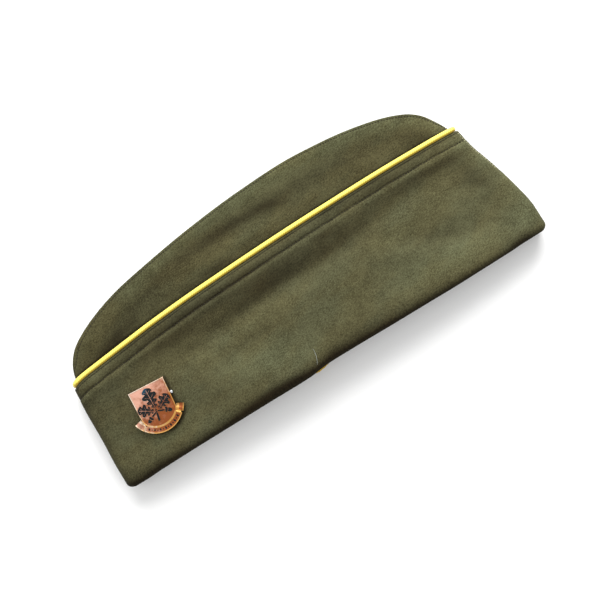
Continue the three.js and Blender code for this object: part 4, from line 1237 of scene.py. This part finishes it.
glossy = {"Roughness": 0.22, "Specular_IOR_Level": 0.16}
enamel_material, enamel_tree, enamel_shader = new_material("badge_enamel", **glossy)
enamel_place = add_node(enamel_tree, "ShaderNodeTexCoord").outputs["Object"]
enamel_cloud = add_node(enamel_tree, "ShaderNodeTexNoise", Vector=enamel_place, Scale=380.0, Detail=2.0)
enamel_reflection_slope = add_node(enamel_tree, "ShaderNodeAttribute", {"attribute_name": "tone"})
cloud = maths(enamel_tree, "MULTIPLY", enamel_cloud.outputs["Fac"], 0.5)
# Painted reflection: blue towards the top and upper left of the badge, black elsewhere
upper_reflection = fit(enamel_tree, maths(enamel_tree, "ADD", enamel_reflection_slope.outputs["Fac"], cloud), 0.62, 0.28)
enamel_color = mix_colors(enamel_tree, upper_reflection, BLACK_ENAMEL, BLUE_REFLECTION)
enamel_tree.links.new(enamel_color, enamel_shader.inputs["Base Color"])
print("badge materials:", [m.name for m in (COPPER, GOLD_EDGE, NICKEL, enamel_material)])

# %% [markdown]
# ## The shield
# The shield is a stamped plate: a flat outline raised to its thickness, with a narrow gold rim left
# by an inset. The field inside it swells like a cushion, so it is a grid that is fitted into the
# outline row by row and then given its height.

# %% Shield
RIM_WIDTH = 0.50
RIM_RISE = 0.3
FIELD_SWELL = 0.45
FIELD_STEPS = 28
BEZIER_STEPS = 22


def bezier(a, b, c, d, steps):
    """Points of a cubic curve after its first."""
    t = np.linspace(0, 1, steps + 1)[1:, None]
    a, b, c, d = (np.array(point, float) for point in (a, b, c, d))
    return (1 - t) ** 3 * a + 3 * (1 - t) ** 2 * t * b + 3 * (1 - t) * t * t * c + t ** 3 * d


def shield_outline(grow=0.0):
    half, top, bottom = SHIELD_WIDTH / 2 + grow, SHIELD_TOP + grow, -SHIELD_BOTTOM - grow
    waist, cheek, chin = (half * 0.97, bottom * 0.35), (half * 0.95, bottom * 0.8), (half * 0.45, bottom)
    left_waist, left_cheek, left_chin = ((-x, y) for x, y in (waist, cheek, chin))
    points = [np.array([[half, top]])]
    points += [np.linspace((half, top), (-half, top), 13)[1:]]
    points += [np.linspace((-half, top), left_waist, 11)[1:]]
    points += [bezier(left_waist, left_cheek, left_chin, (0, bottom), BEZIER_STEPS)]
    points += [bezier((0, bottom), chin, cheek, waist, BEZIER_STEPS)]
    points += [np.linspace(waist, (half, top), 11)[1:-1]]
    return np.concatenate(points)


def build_shield(shape):
    rim_top = PLATE_TOP + RIM_RISE
    top = raise_face(shape, outline_face(shape, shield_outline(), PLATE_BOTTOM), rim_top - PLATE_BOTTOM)
    inset(shape, top, RIM_WIDTH, material=1)
    inset(shape, top, 0.12, -RIM_RISE, material=1)
    sharp = [e for e in shape.edges if e.calc_face_angle(0) > 0.9]
    outer = [e for e in sharp if min(v.co.z for v in e.verts) > rim_top - 0.05]
    bmesh.ops.bevel(shape, geom=outer, affect="EDGES", offset=0.14, segments=3, profile=0.5, material=-1)
    outline = shield_outline(-RIM_WIDTH - 0.05)
    right_side = outline[outline[:, 0] >= 0]
    right_side = right_side[np.argsort(right_side[:, 1])]
    top_y, bottom_y = outline[:, 1].max(), outline[:, 1].min()
    field = bmesh.ops.create_grid(shape, x_segments=FIELD_STEPS, y_segments=FIELD_STEPS, size=1.0)
    for vert in field["verts"]:
        up = 0.5 + 0.5 * vert.co.y
        y = bottom_y + (top_y - bottom_y) * up ** 1.6
        x = float(np.interp(y, right_side[:, 1], right_side[:, 0])) * vert.co.x
        vert.co = (x, y, field_height(x, y))
    faces = faces_of(field)
    face_up(shape, faces)
    bmesh.ops.solidify(shape, geom=faces, thickness=0.35)


def field_height(x, y):
    """Height of the shield's swelling field."""
    swell = max(1 - (x / (SHIELD_WIDTH / 2)) ** 2, 0) * max(1 - (y / SHIELD_BOTTOM) ** 2, 0)
    return PLATE_TOP + 0.02 + FIELD_SWELL * swell


shield = badge_piece("badge_shield", build_shield, COPPER, GOLD_EDGE)
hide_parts("badge_body")

# %% [markdown]
# ## The oak sprig
# The charge is a sprig of oak with three leaves and two acorns, in black enamel. Enamel is poured
# between thin raised walls of metal, so each leaf is a copper outline with a black filling inside,
# made by insetting one face. A midrib and side veins of bare metal lie on each leaf.

# %% Sprig tables and outlines
LEAVES = [
    # along, up, turn, long, wide, as shares of the shield's width
    (-0.05, -0.15, 153, 0.47, 0.36),
    (0.03, -0.15, 33, 0.48, 0.36),
    (-0.01, -0.11, 93, 0.60, 0.43),
]
ACORNS = [
    (0.17, -0.20, -30, 0.22, 0.14),
    (-0.19, -0.24, 215, 0.20, 0.13),
]
STEMS = [
    (-0.02, -0.08, 262, 0.34, 0.06),
    (-0.01, -0.16, -18, 0.22, 0.05),
    (-0.01, -0.16, 204, 0.22, 0.05),
]
# Half width of a lobed leaf along its length
LEAF_ALONG = [
    0.0, 0.05, 0.11, 0.15, 0.20, 0.24, 0.29, 0.35, 0.41, 0.46,
    0.51, 0.57, 0.64, 0.70, 0.75, 0.80, 0.86, 0.93, 0.98, 1.0,
]
LEAF_HALF = [
    0.06, 0.09, 0.30, 0.42, 0.42, 0.22, 0.50, 0.70, 0.70, 0.38,
    0.70, 0.94, 0.96, 0.86, 0.46, 0.66, 0.66, 0.48, 0.24, 0.0,
]
LEAF_LOBES = (0.18, 0.39, 0.63, 0.85)
LEAF_STEPS = 72
STEM_WALL, ACORN_WALL, LEAF_WALL = 0.12, 0.16, 0.13
MIDRIB, SIDE_VEIN = 0.24, 0.09
# How deep a cell starts in the field, its height, and the step from one cell to the next
CELL_SUNK, CELL_HIGH, CELL_STEP = 0.25, 0.42, 0.035


def sizes(row):
    """Length and half width of a part of the sprig, in mm."""
    return row[3] * SHIELD_WIDTH, row[4] * SHIELD_WIDTH / 2


def turned(points, row):
    """Turns an outline that starts at the origin to its place on the shield."""
    cosine, sine = math.cos(math.radians(row[2])), math.sin(math.radians(row[2]))
    x, y = np.asarray(points, float).T
    ahead = np.stack([x * cosine - y * sine, x * sine + y * cosine], axis=-1)
    return ahead + np.array(row[:2]) * SHIELD_WIDTH


def leaf_outline(row):
    long, half = sizes(row)
    share = np.linspace(0, 1, LEAF_STEPS + 1)
    edge = np.stack([share * long, half * read_curve(LEAF_ALONG, LEAF_HALF, share)], axis=-1)
    back = (edge * [1, -1])[:-1][::-1]
    return turned(np.concatenate([edge, back])[::-1], row)


def acorn_outlines(row):
    """The nut and its cup."""
    long, half = sizes(row)
    angle = np.linspace(0, 2 * math.pi, 28, endpoint=False)
    nut = np.stack([long * (0.58 + 0.42 * np.cos(angle)), half * 0.90 * np.sin(angle)], axis=-1)
    cup = np.stack([long * (0.24 + 0.24 * np.cos(angle)), half * 1.12 * np.sin(angle)], axis=-1)
    return turned(nut, row), turned(cup, row)


def stem_outline(row):
    long, half = sizes(row)
    return turned([(0, -half), (long, -half * 1.2), (long, half * 1.2), (0, half)], row)


def cell_top(outline, layer):
    """Height of a cell's top; layer stacks cells that overlap."""
    return field_height(*outline.mean(axis=0)) - CELL_SUNK + CELL_HIGH + CELL_STEP * layer


def enamel_cell(shape, outline, layer, wall):
    """A raised copper outline filled with enamel."""
    high = CELL_HIGH + CELL_STEP * layer
    top = raise_face(shape, outline_face(shape, outline, cell_top(outline, layer) - high), high)
    inset(shape, top, wall, material=1)
    inset(shape, top, 0.05, -0.07)
    top.material_index = 2


def vein(shape, start, end, wide, height):
    """A thin tapered ridge of metal from start to end."""
    start, end = Vector((*start, height)), Vector((*end, height))
    along = end - start
    turn = along.to_track_quat("X", "Z").to_matrix().to_4x4()
    matrix = Matrix.Translation((start + end) / 2) @ turn @ Matrix.Diagonal((along.length, wide, 0.16, 1.0))
    made = bmesh.ops.create_cube(shape, size=1.0, matrix=matrix)
    for face in faces_of(made):
        face.material_index = 1


def build_sprig(shape):
    cells = [(stem_outline(row), STEM_WALL) for row in STEMS]
    cells += [(outline, ACORN_WALL) for row in ACORNS for outline in acorn_outlines(row)]
    for layer, (outline, wall) in enumerate(cells):
        enamel_cell(shape, outline, layer, wall)
    for layer, row in enumerate(LEAVES, len(cells)):
        outline, (long, half) = leaf_outline(row), sizes(row)
        enamel_cell(shape, outline, layer, LEAF_WALL)
        height = cell_top(outline, layer) - 0.05
        vein(shape, *turned([(long * 0.03, 0), (long * 0.90, 0)], row), MIDRIB, height)
        for share in LEAF_LOBES:
            reach = 0.6 * half * read_curve(LEAF_ALONG, LEAF_HALF, share)
            for way in (1, -1):
                ends = turned([(long * (share - 0.12), 0), (long * share, way * reach)], row)
                vein(shape, *ends, SIDE_VEIN, height)


sprig = badge_piece("badge_oak_sprig", build_sprig, GOLD_EDGE, COPPER, enamel_material)
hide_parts("badge_charge")

# %% [markdown]
# ## The scroll
# Below the shield runs a ribbon that folds back at both ends. Each part of it is a bent grid with a
# slight hollow across, given its thickness by solidify, and a broad gold border along its inner side.
# It carries a plain row of lozenges and dots in enamel.

# %% Scroll
SCROLL_BAND = 4.3
SCROLL_FACE = 3.1
SCROLL_CLOTH = 0.55
# from and to in degrees, inner and outer edge, face, hollow, wave, columns, gold share
RIBBONS = [
    (-47.0, 49.0, 0.0, 0.0, 0.0, 0.20, 0.08, 60, 0.30),
    (-70.0, -50.0, 0.2, 0.3, -0.60, 0.30, 0.20, 14, 0.42),
    (52.0, 68.0, 0.5, 0.4, -0.60, 0.30, 0.20, 14, 0.42),
    (-52.0, -45.0, 1.5, 0.15, 0.10, 0.0, 0.15, 6, 1.0),
    (46.0, 53.0, 0.9, -0.6, 0.10, 0.0, 0.15, 6, 1.0),
]
# Sides, long, wide: a lozenge and a dot
ORNAMENTS = [(4, 0.66, 1.12), (10, 0.40, 0.40)]
ORNAMENT_STEP = 6.6


def ribbon(shape, first, last, inner, outer, face, hollow, wave, columns, gold):
    """A strip between two angles below the shield's middle, gold along its inner share."""
    inner, outer = SCROLL_RADIUS - SCROLL_BAND + inner, SCROLL_RADIUS + outer
    made = bmesh.ops.create_grid(shape, x_segments=columns, y_segments=8, size=0.5)
    for vert in made["verts"]:
        along, across = vert.co.x + 0.5, vert.co.y + 0.5
        angle = math.radians(-90 + first + (last - first) * along)
        radius = inner + (outer - inner) * across
        lift = hollow * (2 * across - 1) ** 2 + wave * math.sin(2 * math.pi * along)
        vert.co = (radius * math.cos(angle), radius * math.sin(angle), SCROLL_FACE + face + lift)
    faces = faces_of(made)
    for part in faces:
        middle = part.calc_center_median()
        share = (math.hypot(middle.x, middle.y) - inner) / (outer - inner)
        part.material_index = 1 if share < gold or share > 0.92 else 0
    return faces


def build_scroll(shape):
    strips = [ribbon(shape, *row) for row in RIBBONS]
    bmesh.ops.recalc_face_normals(shape, faces=shape.faces)
    for faces in strips:
        face_up(shape, faces)
    bmesh.ops.solidify(shape, geom=list(shape.faces), thickness=SCROLL_CLOTH)


scroll = badge_piece("badge_scroll", build_scroll, COPPER, GOLD_EDGE, smooth_angle=50.0, reflection_at=0.42)


def build_ornament(shape):
    """Lozenges with dots between them along the middle of the ribbon."""
    radius = SCROLL_RADIUS - SCROLL_BAND * 0.42
    for number in range(-6, 7):
        angle = math.radians(-90 + number * ORNAMENT_STEP)
        sides, long, wide = ORNAMENTS[number % 2]
        at = Matrix.Translation((radius * math.cos(angle), radius * math.sin(angle), SCROLL_FACE + 0.02))
        turn = Matrix.Rotation(angle + math.pi / 2, 4, "Z")
        matrix = at @ turn @ Matrix.Diagonal((long, wide, 1.0, 1.0))
        form = {"segments": sides, "radius1": 1.0, "radius2": 0.86, "depth": 0.16}
        bmesh.ops.create_cone(shape, cap_ends=True, matrix=matrix, **form)


ornament = badge_piece("scroll_ornament", build_ornament, enamel_material)

# %% [markdown]
# ## The pin
# Behind the shield lies the bar of the pin, a box with rounded edges, whose bright end looks out
# beside it.

# %% Pin
PIN_WIDTH = 1.7
PIN_UP = 2.5
PIN_DEEP = 0.8
PIN_SHOWS = 1.2
PIN_ROUND = 0.48


def build_pin(shape):
    at = Matrix.Translation((PIN_SHOWS / 2, PIN_UP, PIN_DEEP))
    size = Matrix.Diagonal((SHIELD_WIDTH + PIN_SHOWS, PIN_WIDTH, 1.0, 1.0))
    bmesh.ops.create_cube(shape, size=1.0, matrix=at @ size)
    edges = list(shape.edges)
    bmesh.ops.bevel(shape, geom=edges, affect="EDGES", offset=PIN_ROUND, segments=5, profile=0.5, material=-1)


pin = badge_piece("badge_pin_bar", build_pin, NICKEL)
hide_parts("badge_pin")

# %% [markdown]
# ## The tape and a hair
# At the lower edge a bit of woven yellow tape looks out from inside the lip. It is a small grid with
# fine ribs across, a wavy edge and a slight ruffle, given its thickness by solidify. A loose light
# hair lies on the curtain above it: a thin sphere drawn out along a bent line.

# %% Tape and hair
TAPE_FROM, TAPE_TO = 126.2, 135.0
TAPE_LOW, TAPE_HIGH = -0.85, 12.3
TAPE_LEVEL = 18.0
TAPE_RIB = 1.1
TAPE_THICK = 0.0003
TAPE_LIGHT, TAPE_DARK = (0.80, 0.52, 0.014, 1.0), (0.46, 0.26, 0.004, 1.0)
HAIR_FROM, HAIR_TO = (131.9, 12.6), (129.2, 3.4)
HAIR_BEND = 0.8
HAIR_RADIUS = 0.10
TAPE_COLUMNS, TAPE_ROWS = 32, 40


def tape_cloth(column, row):
    along, up = column / TAPE_COLUMNS, row / TAPE_ROWS
    x = TAPE_FROM + (TAPE_TO - TAPE_FROM) * along
    low = TAPE_LOW + (0.3 - TAPE_LOW) * along - 0.35 * np.sin(math.pi * along) + 0.08 * np.sin(along * 17.0)
    y = low + (TAPE_HIGH - low) * up
    ribs = np.sin(2 * math.pi * x / TAPE_RIB)
    z = TAPE_LEVEL + 0.10 * ribs + 0.16 * np.sin(along * 7.0 + up * 5.0)
    # Painted shade in the hollows between the ribs, and darker towards the tape's back end
    tone = np.clip(0.45 - 0.35 * ribs + 0.35 * smooth((along - 0.6) / 0.4), 0, 1)
    return np.stack([x, y, z], axis=-1), np.stack([x, y], axis=-1), tone


tape_mesh = grid_mesh("edge_tape", TAPE_COLUMNS, TAPE_ROWS, tape_cloth, closed=False)
rework(tape_mesh, lambda shape: bmesh.ops.solidify(shape, geom=list(shape.faces), thickness=TAPE_THICK))
tape_material = painted_shade_material("tape_yellow", TAPE_LIGHT, TAPE_DARK, Roughness=0.6)
tape = add_piece("edge_tape", tape_mesh, tape_material)
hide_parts("edge_tab")

hair_shape = bmesh.new()
bmesh.ops.create_uvsphere(hair_shape, u_segments=6, v_segments=18, radius=1.0)
for vert in hair_shape.verts:
    share = 0.5 + 0.5 * vert.co.z
    x = HAIR_FROM[0] + (HAIR_TO[0] - HAIR_FROM[0]) * share + HAIR_BEND * math.sin(math.pi * share)
    y = HAIR_FROM[1] + (HAIR_TO[1] - HAIR_FROM[1]) * share
    lying = float(layer_height(1, x, y, 0.0, 1.0)) + 0.15
    vert.co = row_frame([x + HAIR_RADIUS * vert.co.x, y, lying + HAIR_RADIUS * vert.co.y])
hair_material = thread_material("thread_hair", (0.34, 0.37, 0.34, 1.0))
hair = add_piece("loose_hair", mesh_of("loose_hair", hair_shape), hair_material)
